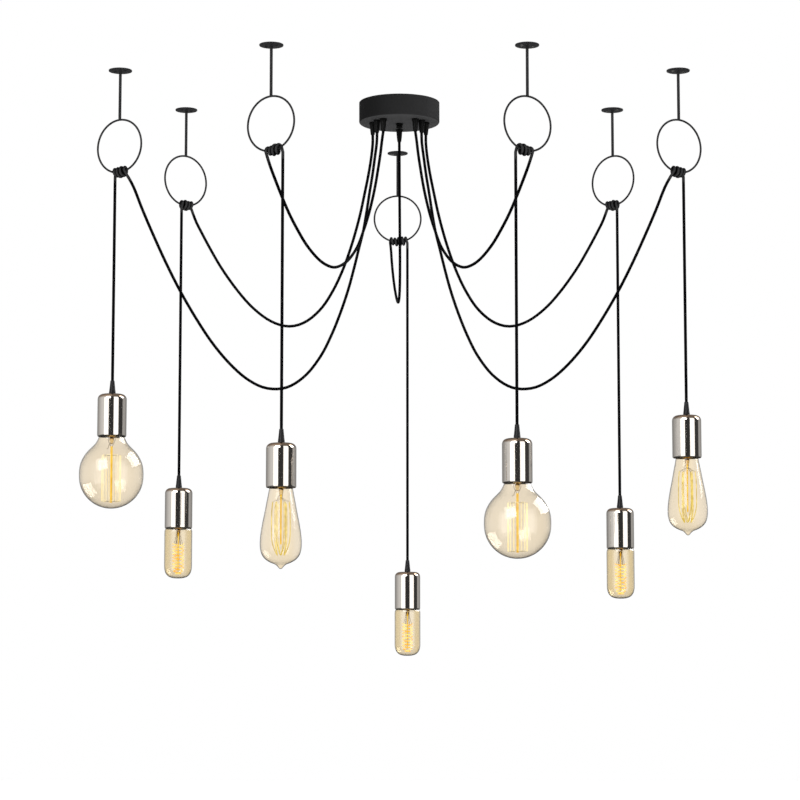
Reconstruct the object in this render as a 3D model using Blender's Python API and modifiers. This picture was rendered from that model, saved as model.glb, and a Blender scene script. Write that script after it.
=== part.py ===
"""A seven-light swag chandelier, to be run in Blender 4.5.

A round canopy on the ceiling feeds seven cords. Each cord hangs in a swag to a hanger of its own,
which is a small plate, a rod and a wire ring. It is wound round the foot of the ring and drops plumb
to a metal cup with a lampholder and a filament lamp.

Lengths are metres, +Z is up, and the origin is on the ceiling over the middle of the canopy. The
viewer stands on the -Y side, so near means -Y and left means -X.
"""

import math

import bmesh
import bpy
from mathutils import Euler, Matrix, Vector

OBJECT_NAME = "swag_chandelier"

# Gaps between pieces that touch, and the overrun of a cutter past what it cuts
TOUCH_GAP = 0.0003
CUT_OVERRUN = 0.002
WELD_DISTANCE = 0.00001

# Canopy: a pressed cup, open towards the ceiling
CANOPY_RADIUS = 0.0635
CANOPY_HEIGHT = 0.0335
CANOPY_WALL = 0.001
CANOPY_EDGE = 0.003
CANOPY_SEGMENTS = 24

# Ceiling bracket: a bar against the ceiling with a stud through the canopy
BRACKET_LENGTH = 0.100
BRACKET_WIDTH = 0.022
BRACKET_THICKNESS = 0.002
BRACKET_CORNER = 0.005
BRACKET_HOLE_RADIUS = 0.00225
BRACKET_HOLE_MARGIN = 0.010
STUD_RADIUS = 0.0025
STUD_REACH = 0.0045

# Knob: a blind nut on the end of the stud
KNOB_RADIUS = 0.0058
KNOB_NECK_RADIUS = 0.0046
KNOB_FLANGE = 0.0024
KNOB_NECK = 0.0009
KNOB_HEIGHT = 0.0075
KNOB_CROWN = 0.001
KNOB_SEGMENTS = 12

# Terminal block under one arm of the bracket, midway between the stud and the screw hole
BLOCK_LENGTH = 0.024
BLOCK_WIDTH = 0.014
BLOCK_HEIGHT = 0.011
BLOCK_EDGE = 0.001
BLOCK_HOLE_RADIUS = 0.0017
BLOCK_POLES = 3

# Cord
CORD_RADIUS = 0.00225
CORD_FIT = 0.0003
CORD_STEP = 0.0168
CORD_INNER_END = 0.009

# Cord grips in the canopy
GRIP_CIRCLE = 0.0427
GRIP_COLLAR_RADIUS = 0.00575
GRIP_COLLAR = 0.003
GRIP_BODY_RADIUS = 0.0048
GRIP_TIP_RADIUS = 0.0033
GRIP_TIP = 0.001
GRIP_LENGTH = 0.0205
GRIP_SHANK_RADIUS = 0.0036
GRIP_NUT_RADIUS = 0.0055
GRIP_NUT = 0.0025
GRIP_SEGMENTS = 8

# Hanger: plate, rod and ring
PLATE_RADIUS = 0.0175
PLATE_THICKNESS = 0.002
PLATE_EDGE = 0.0006
PLATE_SCREW_PLACE = 0.0092
PLATE_SCREW_RADIUS = 0.0026
PLATE_SCREW_HEIGHT = 0.0013
ROD_RADIUS = 0.0022
ROD_LENGTH = 0.0725
RING_RADIUS = 0.040
RING_WIRE_RADIUS = 0.0015
RING_SEGMENTS = 20
RING_WIRE_SIDES = 5
PLATE_SEGMENTS = 14
ROD_SIDES = 6

# Winding round the foot of the ring
SIDE_TURNS = 3.5
BACK_TURNS = 4.5
WINDING_PITCH = 0.0062
WINDING_CLEARANCE = 0.0009
WINDING_BULGE = 0.0022
WINDING_POINTS = 9
WINDING_START_DEGREES = -20
WINDING_RUN_OUT = 0.006
WINDING_SIDESTEP = 0.0018

# Cup
CUP_RADIUS = 0.0215
CUP_HEIGHT = 0.063
CUP_WALL = 0.0012
CUP_SHOULDER = 0.008
CUP_HOLE_RADIUS = 0.0044
CUP_SEGMENTS = 12

# Lampholder with the cord grip on its top
HOLDER_GRIP_HEIGHT = 0.020
HOLDER_GRIP_RADIUS = 0.0049
HOLDER_GRIP_TIP_RADIUS = 0.0031
HOLDER_GRIP_FLOOR = 0.002
HOLDER_BODY_RADIUS = 0.0183
HOLDER_RECESS = 0.004
HOLDER_SOCKET_DEPTH = 0.0295
HOLDER_SEGMENTS = 10

# Lamp cap and stem, the cap with the E27 size
CAP_RADIUS = 0.0130
CAP_LENGTH = 0.027
CAP_CONTACT_RADIUS = 0.0048
CAP_CONTACT_HEIGHT = 0.0016
CAP_SHOULDER_RADIUS = 0.0105
CAP_SHOULDER = 0.004
CAP_SHOULDER_DROP = 0.002
CAP_FIT = 0.0007
CAP_SEAT_GAP = 0.0005
STEM_RADIUS = 0.0045
STEM_TIP_RADIUS = 0.0016
FILAMENT_WIRE_RADIUS = 0.0005
FILAMENT_LEAD = 0.004
CAP_SEGMENTS = 10

# Glass envelopes
GLASS_WALL = 0.0009
GLASS_SEGMENTS = {"globe": 14, "pear": 10, "tube": 10}
GLASS_NECK_RADIUS = 0.0127
GLASS_NECK = 0.003
GLOBE_RADIUS = 0.0474
GLOBE_LENGTH = 0.1124
PEAR_RADIUS = 0.0295
PEAR_LENGTH = 0.1203
TUBE_RADIUS = 0.0217
TUBE_LENGTH = 0.0839

# Outlines of the envelopes under their necks, as shares of their radius and length
GLOBE_OUTLINE_SHARES = (
    (0.39, 0.057),
    (0.51, 0.149),
    (0.78, 0.267),
    (0.95, 0.396),
    (1.00, 0.578),
    (0.92, 0.740),
    (0.71, 0.876),
    (0.38, 0.968),
)
PEAR_OUTLINE_SHARES = (
    (0.56, 0.05),
    (0.66, 0.17),
    (0.86, 0.43),
    (1.00, 0.69),
    (0.94, 0.82),
    (0.56, 0.93),
    (0.20, 0.975),
)
TUBE_OUTLINE_SHARES = (
    (0.87, 0.065),
    (1.00, 0.105),
    (1.00, 0.84),
    (0.82, 0.94),
    (0.42, 0.99),
)

GLASS_OUTLINES = {
    "globe": (GLOBE_RADIUS, GLOBE_LENGTH, GLOBE_OUTLINE_SHARES),
    "pear": (PEAR_RADIUS, PEAR_LENGTH, PEAR_OUTLINE_SHARES),
    "tube": (TUBE_RADIUS, TUBE_LENGTH, TUBE_OUTLINE_SHARES),
}

# Filament cages: radius, and where they start and end under the cap
GLOBE_CAGE = (0.0150, 0.030, 0.094)
PEAR_CAGE = (0.0135, 0.028, 0.100)
TUBE_CAGE = (0.0090, 0.026, 0.070)
CAGE_LEGS = 4
CAGE_FOOT_SHARE = 0.72

# Plan places of the hangers
NEAR_PLACE = (0.1842, -0.364)
MID_PLACE = (0.4182, -0.212)
FAR_PLACE = (0.3409, 0.047)
BACK_PLACE = (-0.003, 0.376)

# Free length of each drop, from the winding to the grip on the cup
NEAR_LEFT_DROP = 0.3936
MID_LEFT_DROP = 0.3021
FAR_LEFT_DROP = 0.4227
BACK_DROP = 0.5402
FAR_RIGHT_DROP = 0.4542
MID_RIGHT_DROP = 0.3338
NEAR_RIGHT_DROP = 0.3871

# Where the cord leaves the winding, measured along the ring wire from its foot
NEAR_WINDING_END = 0.0160
MID_WINDING_END = -0.0089
FAR_WINDING_END = -0.0089
BACK_WINDING_END = 0.0150

# How far from the drop's end of the winding the plane of a swag meets the ring
SWAG_AIM = 0.0275

# Where the bulge of a winding is fullest, as a share of the way from its swag end to its drop end
DROP_SIDE_SHARE = 0.66
SWAG_SIDE_SHARE = 0.38

# Routes of the swags: distance from the canopy grip towards the ring, and height under the ceiling
NEAR_ROUTE = (
    (0.0040, -0.0680), (0.0100, -0.0930), (0.0175, -0.1180), (0.0260, -0.1440), (0.0365, -0.1700),
    (0.0490, -0.1960), (0.0645, -0.2220), (0.0840, -0.2500), (0.1135, -0.2755), (0.1460, -0.2905),
    (0.1730, -0.2935), (0.2045, -0.2880), (0.2400, -0.2725), (0.2680, -0.2535), (0.2920, -0.2340),
    (0.3130, -0.2130), (0.3320, -0.1920), (0.3480, -0.1730),
)
MID_ROUTE = (
    (0.0005, -0.0700), (0.0040, -0.0950), (0.0080, -0.1220), (0.0130, -0.1500), (0.0180, -0.1800),
    (0.0240, -0.2120), (0.0320, -0.2420), (0.0405, -0.2740), (0.0505, -0.3080), (0.0635, -0.3440),
    (0.0790, -0.3800), (0.0975, -0.4140), (0.1235, -0.4455), (0.1550, -0.4655), (0.1890, -0.4685),
    (0.2195, -0.4575), (0.2490, -0.4360), (0.2785, -0.4060), (0.3060, -0.3700), (0.3325, -0.3300),
    (0.3555, -0.2900), (0.3765, -0.2495), (0.3945, -0.2125), (0.4100, -0.1780),
)
FAR_ROUTE = (
    (0.0000, -0.0680), (0.0025, -0.0910), (0.0070, -0.1180), (0.0130, -0.1470), (0.0195, -0.1770),
    (0.0280, -0.2090), (0.0380, -0.2405), (0.0500, -0.2715), (0.0650, -0.3015), (0.0840, -0.3285),
    (0.1090, -0.3480), (0.1360, -0.3540), (0.1650, -0.3450), (0.1945, -0.3230), (0.2210, -0.2935),
    (0.2470, -0.2575), (0.2670, -0.2240), (0.2820, -0.1965), (0.2910, -0.1790),
)
BACK_ROUTE = (
    (0.0015, -0.0680), (0.0060, -0.0880), (0.0130, -0.1120), (0.0220, -0.1370), (0.0330, -0.1620),
    (0.0470, -0.1890), (0.0650, -0.2160), (0.0880, -0.2430), (0.1160, -0.2655), (0.1480, -0.2805),
    (0.1810, -0.2845), (0.2130, -0.2775), (0.2430, -0.2620), (0.2700, -0.2420), (0.2940, -0.2175),
    (0.3120, -0.1930), (0.3230, -0.1730),
)

# How far the back swag bows out of its plane, to the right
BACK_BOW = 0.007

# The arms: name, side, plan place, turn of the ring in degrees, turn of the canopy grip about the
# canopy in degrees, drop, lamp, drop end of the winding, its turns and fullest share, swag route
# and its bow.
# Left and right arms mirror each other: side is -1 or 1 and turns the ring and the grip over.
ARMS = (
    ("near_left", -1, NEAR_PLACE, 31, -54, NEAR_LEFT_DROP, "pear", NEAR_WINDING_END,
     SIDE_TURNS, DROP_SIDE_SHARE, NEAR_ROUTE, 0),
    ("mid_left", -1, MID_PLACE, 30, -35, MID_LEFT_DROP, "globe", MID_WINDING_END,
     SIDE_TURNS, SWAG_SIDE_SHARE, MID_ROUTE, 0),
    ("far_left", -1, FAR_PLACE, -40, -11, FAR_LEFT_DROP, "tube", FAR_WINDING_END,
     SIDE_TURNS, DROP_SIDE_SHARE, FAR_ROUTE, 0),
    ("back", 1, BACK_PLACE, 0, 90, BACK_DROP, "tube", BACK_WINDING_END,
     BACK_TURNS, DROP_SIDE_SHARE, BACK_ROUTE, BACK_BOW),
    ("far_right", 1, FAR_PLACE, -40, -11, FAR_RIGHT_DROP, "tube", FAR_WINDING_END,
     SIDE_TURNS, DROP_SIDE_SHARE, FAR_ROUTE, 0),
    ("mid_right", 1, MID_PLACE, 30, -35, MID_RIGHT_DROP, "pear", MID_WINDING_END,
     SIDE_TURNS, SWAG_SIDE_SHARE, MID_ROUTE, 0),
    ("near_right", 1, NEAR_PLACE, 31, -54, NEAR_RIGHT_DROP, "globe", NEAR_WINDING_END,
     SIDE_TURNS, DROP_SIDE_SHARE, NEAR_ROUTE, 0),
)

# Finishes: colour, roughness, metallic
FINISHES = {
    "canopy_black": ((0.022, 0.022, 0.024), 0.42, 0.0),
    "hanger_black": ((0.018, 0.018, 0.019), 0.38, 0.0),
    "cord_black": ((0.012, 0.012, 0.013), 0.55, 0.0),
    "grip_black": ((0.030, 0.030, 0.032), 0.45, 0.0),
    "zinc_steel": ((0.62, 0.62, 0.60), 0.35, 1.0),
    "terminal_white": ((0.80, 0.79, 0.75), 0.50, 0.0),
    "satin_nickel": ((0.66, 0.64, 0.61), 0.22, 1.0),
    "holder_black": ((0.025, 0.025, 0.026), 0.40, 0.0),
    "lamp_cap": ((0.72, 0.66, 0.52), 0.28, 1.0),
    "amber_glass": ((0.85, 0.62, 0.32), 0.05, 0.0),
}


def empty_scene():
    """Remove every object that the file opens with."""
    for old in list(bpy.data.objects):
        bpy.data.objects.remove(old, do_unlink=True)


def new_collection(name):
    """Make a collection under the scene's own."""
    made = bpy.data.collections.new(name)
    bpy.context.scene.collection.children.link(made)
    return made


def make_finishes():
    """Make one Principled material for each finish."""
    made = {}
    for name, (colour, roughness, metallic) in FINISHES.items():
        material = bpy.data.materials.new(name)
        material.use_nodes = True
        shader = material.node_tree.nodes["Principled BSDF"]
        shader.inputs["Base Color"].default_value = (*colour, 1.0)
        shader.inputs["Roughness"].default_value = roughness
        shader.inputs["Metallic"].default_value = metallic
        made[name] = material
    return made


def place(name, data, collection, finish=None, location=(0, 0, 0), turn=0.0, parent=None):
    """Make an object of some data and put it in a collection, under a parent if it has one."""
    made = bpy.data.objects.new(name, data)
    collection.objects.link(made)
    made.parent = parent
    made.location = location
    made.rotation_euler = Euler((0, 0, turn))
    if finish is not None:
        made.data.materials.clear()
        made.data.materials.append(finish)
    return made


def smooth(mesh):
    """Shade a mesh smooth, with its corners left sharp."""
    mesh.shade_smooth()
    mesh.set_sharp_from_angle(angle=math.radians(40))


def profile_mesh(name, points, closed=False):
    """A line of (radius, height) points at +X, which runs down its outer side."""
    mesh = bpy.data.meshes.new(name)
    shape = bmesh.new()
    line = [shape.verts.new((radius, 0, height)) for radius, height in points]
    for first, second in zip(line, line[1:]):
        shape.edges.new((first, second))
    if closed:
        shape.edges.new((line[-1], line[0]))
    shape.to_mesh(mesh)
    shape.free()
    return mesh


def add_screw(item, segments):
    """Turn a profile into a body of revolution about Z."""
    screw = item.modifiers.new("turned", "SCREW")
    screw.steps = segments
    screw.render_steps = segments
    screw.use_merge_vertices = True
    screw.merge_threshold = WELD_DISTANCE
    screw.use_smooth_shade = True
    return screw


def add_boolean(item, other, operation):
    """Cut or join another object into this one."""
    step = item.modifiers.new(other.name, "BOOLEAN")
    step.object = other
    step.operation = operation
    return step


def set_as_cutter(item):
    """Show an object as a cutter, which is left out of the model."""
    item.hide_render = True
    item.display_type = "WIRE"
    return item


def evaluated_mesh(item, name):
    """The mesh of an object with its modifiers, welded."""
    bpy.context.view_layer.update()
    ready = item.evaluated_get(bpy.context.evaluated_depsgraph_get())
    mesh = bpy.data.meshes.new_from_object(ready)
    mesh.name = name
    shape = bmesh.new()
    shape.from_mesh(mesh)
    bmesh.ops.remove_doubles(shape, verts=shape.verts, dist=WELD_DISTANCE)
    shape.to_mesh(mesh)
    shape.free()
    return mesh


def cylinder_mesh(name, radius, low, high, segments, centre=(0, 0)):
    """An upright closed cylinder between two heights."""
    mesh = bpy.data.meshes.new(name)
    shape = bmesh.new()
    middle = Matrix.Translation((centre[0], centre[1], (low + high) / 2))
    bmesh.ops.create_cone(shape, cap_ends=True, segments=segments, radius1=radius,
                          radius2=radius, depth=high - low, matrix=middle)
    shape.to_mesh(mesh)
    shape.free()
    return mesh


def tube_data(name, points, radius, resolution):
    """A round tube along a line of points, as a curve with closed ends."""
    data = bpy.data.curves.new(name, "CURVE")
    data.dimensions = "3D"
    data.twist_mode = "MINIMUM"
    data.bevel_depth = radius
    data.bevel_resolution = resolution
    data.use_fill_caps = True
    line = data.splines.new("POLY")
    line.points.add(len(points) - 1)
    for point, spot in zip(line.points, points):
        point.co = (*spot, 1.0)
    return data


def arc(centre, radius, start_degrees, end_degrees, steps):
    """Points (radius, height) on an arc, counted from the horizontal."""
    spots = []
    for step in range(steps + 1):
        angle = math.radians(start_degrees + (end_degrees - start_degrees) * step / steps)
        spots.append((centre[0] + radius * math.cos(angle), centre[1] + radius * math.sin(angle)))
    return spots


def smooth_route(spots, step):
    """Points at an even step along a smooth curve through the given spots."""
    fine = []
    ends = [spots[0] * 2 - spots[1], *spots, spots[-1] * 2 - spots[-2]]
    for before, first, second, after in zip(ends, ends[1:], ends[2:], ends[3:]):
        for share in (part / 12 for part in range(12)):
            fine.append(
                0.5 * (2 * first + (second - before) * share
                       + (2 * before - 5 * first + 4 * second - after) * share ** 2
                       + (3 * first - before - 3 * second + after) * share ** 3)
            )
    fine.append(spots[-1])
    lengths = [0.0]
    for first, second in zip(fine, fine[1:]):
        lengths.append(lengths[-1] + (second - first).length)
    count = max(2, round(lengths[-1] / step))
    even = []
    at = 0
    for number in range(count + 1):
        target = lengths[-1] * number / count
        while at < len(fine) - 2 and lengths[at + 1] < target:
            at += 1
        share = (target - lengths[at]) / (lengths[at + 1] - lengths[at])
        even.append(fine[at].lerp(fine[at + 1], share))
    return even


def least_gap(points, radius):
    """The least gap of a tube to itself, between stretches that aren't neighbours."""
    least = math.inf
    run = [0.0]
    for first, second in zip(points, points[1:]):
        run.append(run[-1] + (second - first).length)
    for first in range(len(points)):
        for second in range(first + 1, len(points)):
            apart = (points[second] - points[first]).length
            if run[second] - run[first] > math.pi * apart / 2 + 4 * radius:
                least = min(least, apart - 2 * radius)
    return least


def make_canopy(collection, cutters, finishes):
    """The canopy, with a hole for each cord grip and one for the stud."""
    hole = STUD_RADIUS + TOUCH_GAP
    corner = (CANOPY_RADIUS - CANOPY_EDGE, -CANOPY_HEIGHT + CANOPY_EDGE)
    outer = [(CANOPY_RADIUS, 0)] + arc(corner, CANOPY_EDGE, 0, -90, 2)
    floor = -CANOPY_HEIGHT + CANOPY_WALL
    inner = [(hole, -CANOPY_HEIGHT), (hole, floor)]
    inner += arc(corner, CANOPY_EDGE - CANOPY_WALL, -90, 0, 2)
    inner.append((CANOPY_RADIUS - CANOPY_WALL, 0))
    mesh = profile_mesh("canopy", outer + inner, closed=True)
    canopy = place("canopy", mesh, collection, finishes["canopy_black"])
    add_screw(canopy, CANOPY_SEGMENTS)
    for name, spot in grip_places():
        cutter = place("cut_canopy_" + name, cylinder_mesh(
            "cut_canopy_" + name, GRIP_SHANK_RADIUS + TOUCH_GAP, -CANOPY_HEIGHT - CUT_OVERRUN,
            floor + CUT_OVERRUN, GRIP_SEGMENTS), cutters, location=(*spot, 0))
        add_boolean(canopy, set_as_cutter(cutter), "DIFFERENCE")
    return canopy


def bracket_hole_place():
    """How far the bar's screw holes are from its middle."""
    return BRACKET_LENGTH / 2 - BRACKET_HOLE_MARGIN


def make_bracket(collection, cutters, finishes):
    """The bar against the ceiling, its two screw holes and its stud, as one piece."""
    outline = bpy.data.curves.new("bracket_outline", "CURVE")
    outline.dimensions = "2D"
    outline.fill_mode = "BOTH"
    outline.extrude = BRACKET_THICKNESS / 2
    side = BRACKET_LENGTH / 2 - BRACKET_CORNER
    front = BRACKET_WIDTH / 2 - BRACKET_CORNER
    spots = arc((side, front), BRACKET_CORNER, 0, 90, 3) + arc((-side, front), BRACKET_CORNER, 90, 180, 3)
    spots += arc((-side, -front), BRACKET_CORNER, 180, 270, 3)
    spots += arc((side, -front), BRACKET_CORNER, 270, 360, 3)
    line = outline.splines.new("POLY")
    line.use_cyclic_u = True
    line.points.add(len(spots) - 1)
    for point, spot in zip(line.points, spots):
        point.co = (*spot, 0, 1)
    flat = place("bracket_outline", outline, cutters, location=(0, 0, -BRACKET_THICKNESS / 2))
    bar_mesh = evaluated_mesh(flat, "ceiling_bracket")
    bar_mesh.transform(flat.matrix_world)
    bpy.data.objects.remove(flat)
    bracket = place("ceiling_bracket", bar_mesh, collection, finishes["zinc_steel"])
    for side_name, side in (("left", -1), ("right", 1)):
        name = "cut_bracket_" + side_name
        cutter = place(name, cylinder_mesh(
            name, BRACKET_HOLE_RADIUS, -BRACKET_THICKNESS - CUT_OVERRUN, CUT_OVERRUN, 10,
            (side * bracket_hole_place(), 0)), cutters)
        add_boolean(bracket, set_as_cutter(cutter), "DIFFERENCE")
    stud = place("join_stud", cylinder_mesh(
        "join_stud", STUD_RADIUS, -CANOPY_HEIGHT - STUD_REACH, -BRACKET_THICKNESS / 2, 10), cutters)
    add_boolean(bracket, set_as_cutter(stud), "UNION")
    return bracket


def make_knob(collection, finishes):
    """The blind nut that holds the canopy up."""
    bore = STUD_RADIUS + TOUCH_GAP
    points = (
        (0, -STUD_REACH),
        (bore, -STUD_REACH),
        (bore, 0),
        (KNOB_RADIUS, 0),
        (KNOB_RADIUS, -KNOB_FLANGE),
        (KNOB_NECK_RADIUS, -KNOB_FLANGE - KNOB_NECK),
        (KNOB_RADIUS - KNOB_CROWN / 2, -KNOB_HEIGHT + KNOB_CROWN),
        (KNOB_RADIUS - 2 * KNOB_CROWN, -KNOB_HEIGHT),
        (0, -KNOB_HEIGHT),
    )
    knob = place("canopy_knob", profile_mesh("canopy_knob", points), collection,
                 finishes["canopy_black"], location=(0, 0, -CANOPY_HEIGHT - TOUCH_GAP))
    add_screw(knob, KNOB_SEGMENTS)
    return knob


def make_terminal_block(collection, cutters, finishes):
    """The terminal block on the underside of the bracket's left arm."""
    shape = bmesh.new()
    bmesh.ops.create_cube(shape, size=1, matrix=Matrix.Diagonal((BLOCK_LENGTH, BLOCK_WIDTH, BLOCK_HEIGHT, 1)))
    mesh = bpy.data.meshes.new("terminal_block")
    shape.to_mesh(mesh)
    shape.free()
    top = -BRACKET_THICKNESS - TOUCH_GAP
    middle = (STUD_RADIUS + bracket_hole_place() - BRACKET_HOLE_RADIUS) / 2
    block = place("terminal_block", mesh, collection, finishes["terminal_white"],
                  location=(-middle, 0, top - BLOCK_HEIGHT / 2))
    bevel = block.modifiers.new("edges", "BEVEL")
    bevel.width = BLOCK_EDGE
    bevel.segments = 1
    for pole in range(BLOCK_POLES):
        name = "cut_block_" + str(pole + 1)
        along = ((pole + 0.5) / BLOCK_POLES - 0.5) * BLOCK_LENGTH
        reach = BLOCK_WIDTH / 2 + CUT_OVERRUN
        cutter = place(name, cylinder_mesh(name, BLOCK_HOLE_RADIUS, -reach, reach, 8), cutters,
                       location=(-middle + along, 0, top - BLOCK_HEIGHT / 2))
        cutter.rotation_euler = Euler((math.radians(90), 0, 0))
        add_boolean(block, set_as_cutter(cutter), "DIFFERENCE")
    return block


def grip_places():
    """The plan place of each arm's grip in the canopy."""
    spots = []
    for name, side, _, _, grip_degrees, *_ in ARMS:
        angle = math.radians(grip_degrees)
        across = side * GRIP_CIRCLE * math.cos(angle)
        spots.append((name, (across, GRIP_CIRCLE * math.sin(angle))))
    return spots


def canopy_grip_mesh():
    """A cord grip with its collar under the canopy and its nut inside it."""
    bore = CORD_RADIUS + CORD_FIT
    nut_foot = CANOPY_WALL + TOUCH_GAP
    collar_foot = -TOUCH_GAP - GRIP_COLLAR
    points = (
        (bore, nut_foot + GRIP_NUT),
        (GRIP_NUT_RADIUS, nut_foot + GRIP_NUT),
        (GRIP_NUT_RADIUS, nut_foot),
        (GRIP_SHANK_RADIUS, nut_foot),
        (GRIP_SHANK_RADIUS, -TOUCH_GAP),
        (GRIP_COLLAR_RADIUS, -TOUCH_GAP),
        (GRIP_COLLAR_RADIUS, collar_foot),
        (GRIP_BODY_RADIUS, collar_foot),
        (GRIP_TIP_RADIUS, -GRIP_LENGTH + GRIP_TIP),
        (bore, -GRIP_LENGTH),
    )
    return profile_mesh("canopy_grip", points, closed=True)


def hanger_mesh(cutters):
    """Plate, rod, ring and the two plate screws of a hanger, as one piece."""
    foot = -PLATE_THICKNESS
    plate_points = (
        (0, 0),
        (PLATE_RADIUS, 0),
        (PLATE_RADIUS, foot + PLATE_EDGE),
        (PLATE_RADIUS - PLATE_EDGE, foot),
        (0, foot),
    )
    plate = place("join_plate", profile_mesh("join_plate", plate_points), cutters)
    add_screw(plate, PLATE_SEGMENTS)
    ring_top = foot - ROD_LENGTH
    rod = place("join_rod", cylinder_mesh(
        "join_rod", ROD_RADIUS, ring_top - 1.5 * RING_WIRE_RADIUS, -PLATE_THICKNESS / 2, ROD_SIDES), cutters)
    bpy.ops.mesh.primitive_torus_add(
        major_segments=RING_SEGMENTS, minor_segments=RING_WIRE_SIDES, major_radius=RING_RADIUS,
        minor_radius=RING_WIRE_RADIUS, rotation=(math.radians(90), 0, 0),
        location=(0, 0, ring_top - RING_WIRE_RADIUS - RING_RADIUS))
    ring = bpy.context.active_object
    ring.name = "join_ring"
    bpy.context.collection.objects.unlink(ring)
    cutters.objects.link(ring)
    parts = [rod, ring]
    for side in (-1, 1):
        screw = place("join_screw", cylinder_mesh(
            "join_screw", PLATE_SCREW_RADIUS, foot - PLATE_SCREW_HEIGHT, -PLATE_THICKNESS / 2, ROD_SIDES,
            (side * PLATE_SCREW_PLACE, 0)), cutters)
        parts.append(screw)
    for part in parts:
        add_boolean(plate, set_as_cutter(part), "UNION")
    mesh = evaluated_mesh(set_as_cutter(plate), "hanger")
    for part in [plate, *parts]:
        bpy.data.objects.remove(part)
    smooth(mesh)
    return mesh


def ring_foot_height(along):
    """Height of the ring wire's middle, at a distance along the ring from its foot."""
    centre = -PLATE_THICKNESS - ROD_LENGTH - RING_WIRE_RADIUS - RING_RADIUS
    return centre - math.sqrt(RING_RADIUS ** 2 - along ** 2)


def winding_points(origin, tangent, inward, drop_end, turns, fullest):
    """The turns round the foot of a ring, from the swag's side to the head of the drop.

    The cord comes up on the outer side and leaves on the canopy's side, straight down.
    """
    tight = RING_WIRE_RADIUS + WINDING_CLEARANCE + CORD_RADIUS
    heading = math.copysign(1, drop_end)
    start = drop_end - heading * WINDING_PITCH * turns
    first_turn = WINDING_START_DEGREES / 360
    skew = math.log(0.5) / math.log(fullest)
    count = round((turns - first_turn) * WINDING_POINTS)
    spots = []
    for number in range(count + 1):
        turn = first_turn + (turns - first_turn) * number / count
        share = (turn - first_turn) / (turns - first_turn)
        along = start + (drop_end - start) * share
        reach = tight + WINDING_BULGE * math.sin(math.pi * share ** skew) ** 1.5
        angle = math.tau * turn
        spot = origin + tangent * along - inward * (reach * math.cos(angle))
        spot.z += ring_foot_height(along) + reach * math.sin(angle)
        spots.append(spot)
    lean = spots[-1] + tangent * (heading * WINDING_SIDESTEP) - Vector((0, 0, WINDING_RUN_OUT))
    return spots + [lean, lean - Vector((0, 0, 2 * CORD_RADIUS))]


def swag_points(grip, route, bow, aim, winding):
    """The whole swag: out of the canopy, along its route towards the aim, and round the ring."""
    reach = Vector((aim.x - grip.x, aim.y - grip.y, 0))
    plan = reach.normalized()
    aside = Vector((plan.y, -plan.x, 0)) * bow
    top = grip + Vector((0, 0, CORD_INNER_END))
    mouth = grip - Vector((0, 0, GRIP_LENGTH))
    spots = [mouth]
    for distance, height in route:
        bowed = aside * math.sin(math.pi * distance / reach.length)
        spots.append(Vector((grip.x, grip.y, height)) + plan * distance + bowed)
    spots += winding[:2]
    free = smooth_route(spots, CORD_STEP)
    last = min(range(len(free)), key=lambda at: (free[at] - winding[0]).length)
    return [top, *free[:last], *winding]


def cup_mesh():
    """A cup with round shoulders and a hole for the grip, its origin on its top face."""
    corner = (CUP_RADIUS - CUP_SHOULDER, -CUP_SHOULDER)
    outer = [(CUP_HOLE_RADIUS, 0)] + arc(corner, CUP_SHOULDER, 90, 0, 2)
    inner = arc(corner, CUP_SHOULDER - CUP_WALL, 0, 90, 2)
    points = outer + [(CUP_RADIUS, -CUP_HEIGHT), (CUP_RADIUS - CUP_WALL, -CUP_HEIGHT)] + inner
    points.append((CUP_HOLE_RADIUS, -CUP_WALL))
    return profile_mesh("cup", points, closed=True)


def holder_mesh():
    """The lampholder under the cup's top, with the cord grip that stands on the cup."""
    bore = CORD_RADIUS + CORD_FIT
    neck = CUP_HOLE_RADIUS - TOUCH_GAP
    top = -CUP_WALL - TOUCH_GAP
    shoulder = CUP_SHOULDER - CUP_WALL
    socket = CAP_RADIUS + CAP_FIT
    foot = -CUP_HEIGHT + HOLDER_RECESS
    points = (
        (0, HOLDER_GRIP_FLOOR),
        (bore, HOLDER_GRIP_FLOOR),
        (bore, HOLDER_GRIP_HEIGHT),
        (HOLDER_GRIP_TIP_RADIUS, HOLDER_GRIP_HEIGHT),
        (HOLDER_GRIP_RADIUS, TOUCH_GAP),
        (neck, TOUCH_GAP),
        (neck, top),
        (HOLDER_BODY_RADIUS - shoulder, top),
        (HOLDER_BODY_RADIUS, top - shoulder),
        (HOLDER_BODY_RADIUS, foot),
        (socket, foot),
        (socket, foot + HOLDER_SOCKET_DEPTH),
        (0, foot + HOLDER_SOCKET_DEPTH),
    )
    return profile_mesh("lampholder", points)


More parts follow.
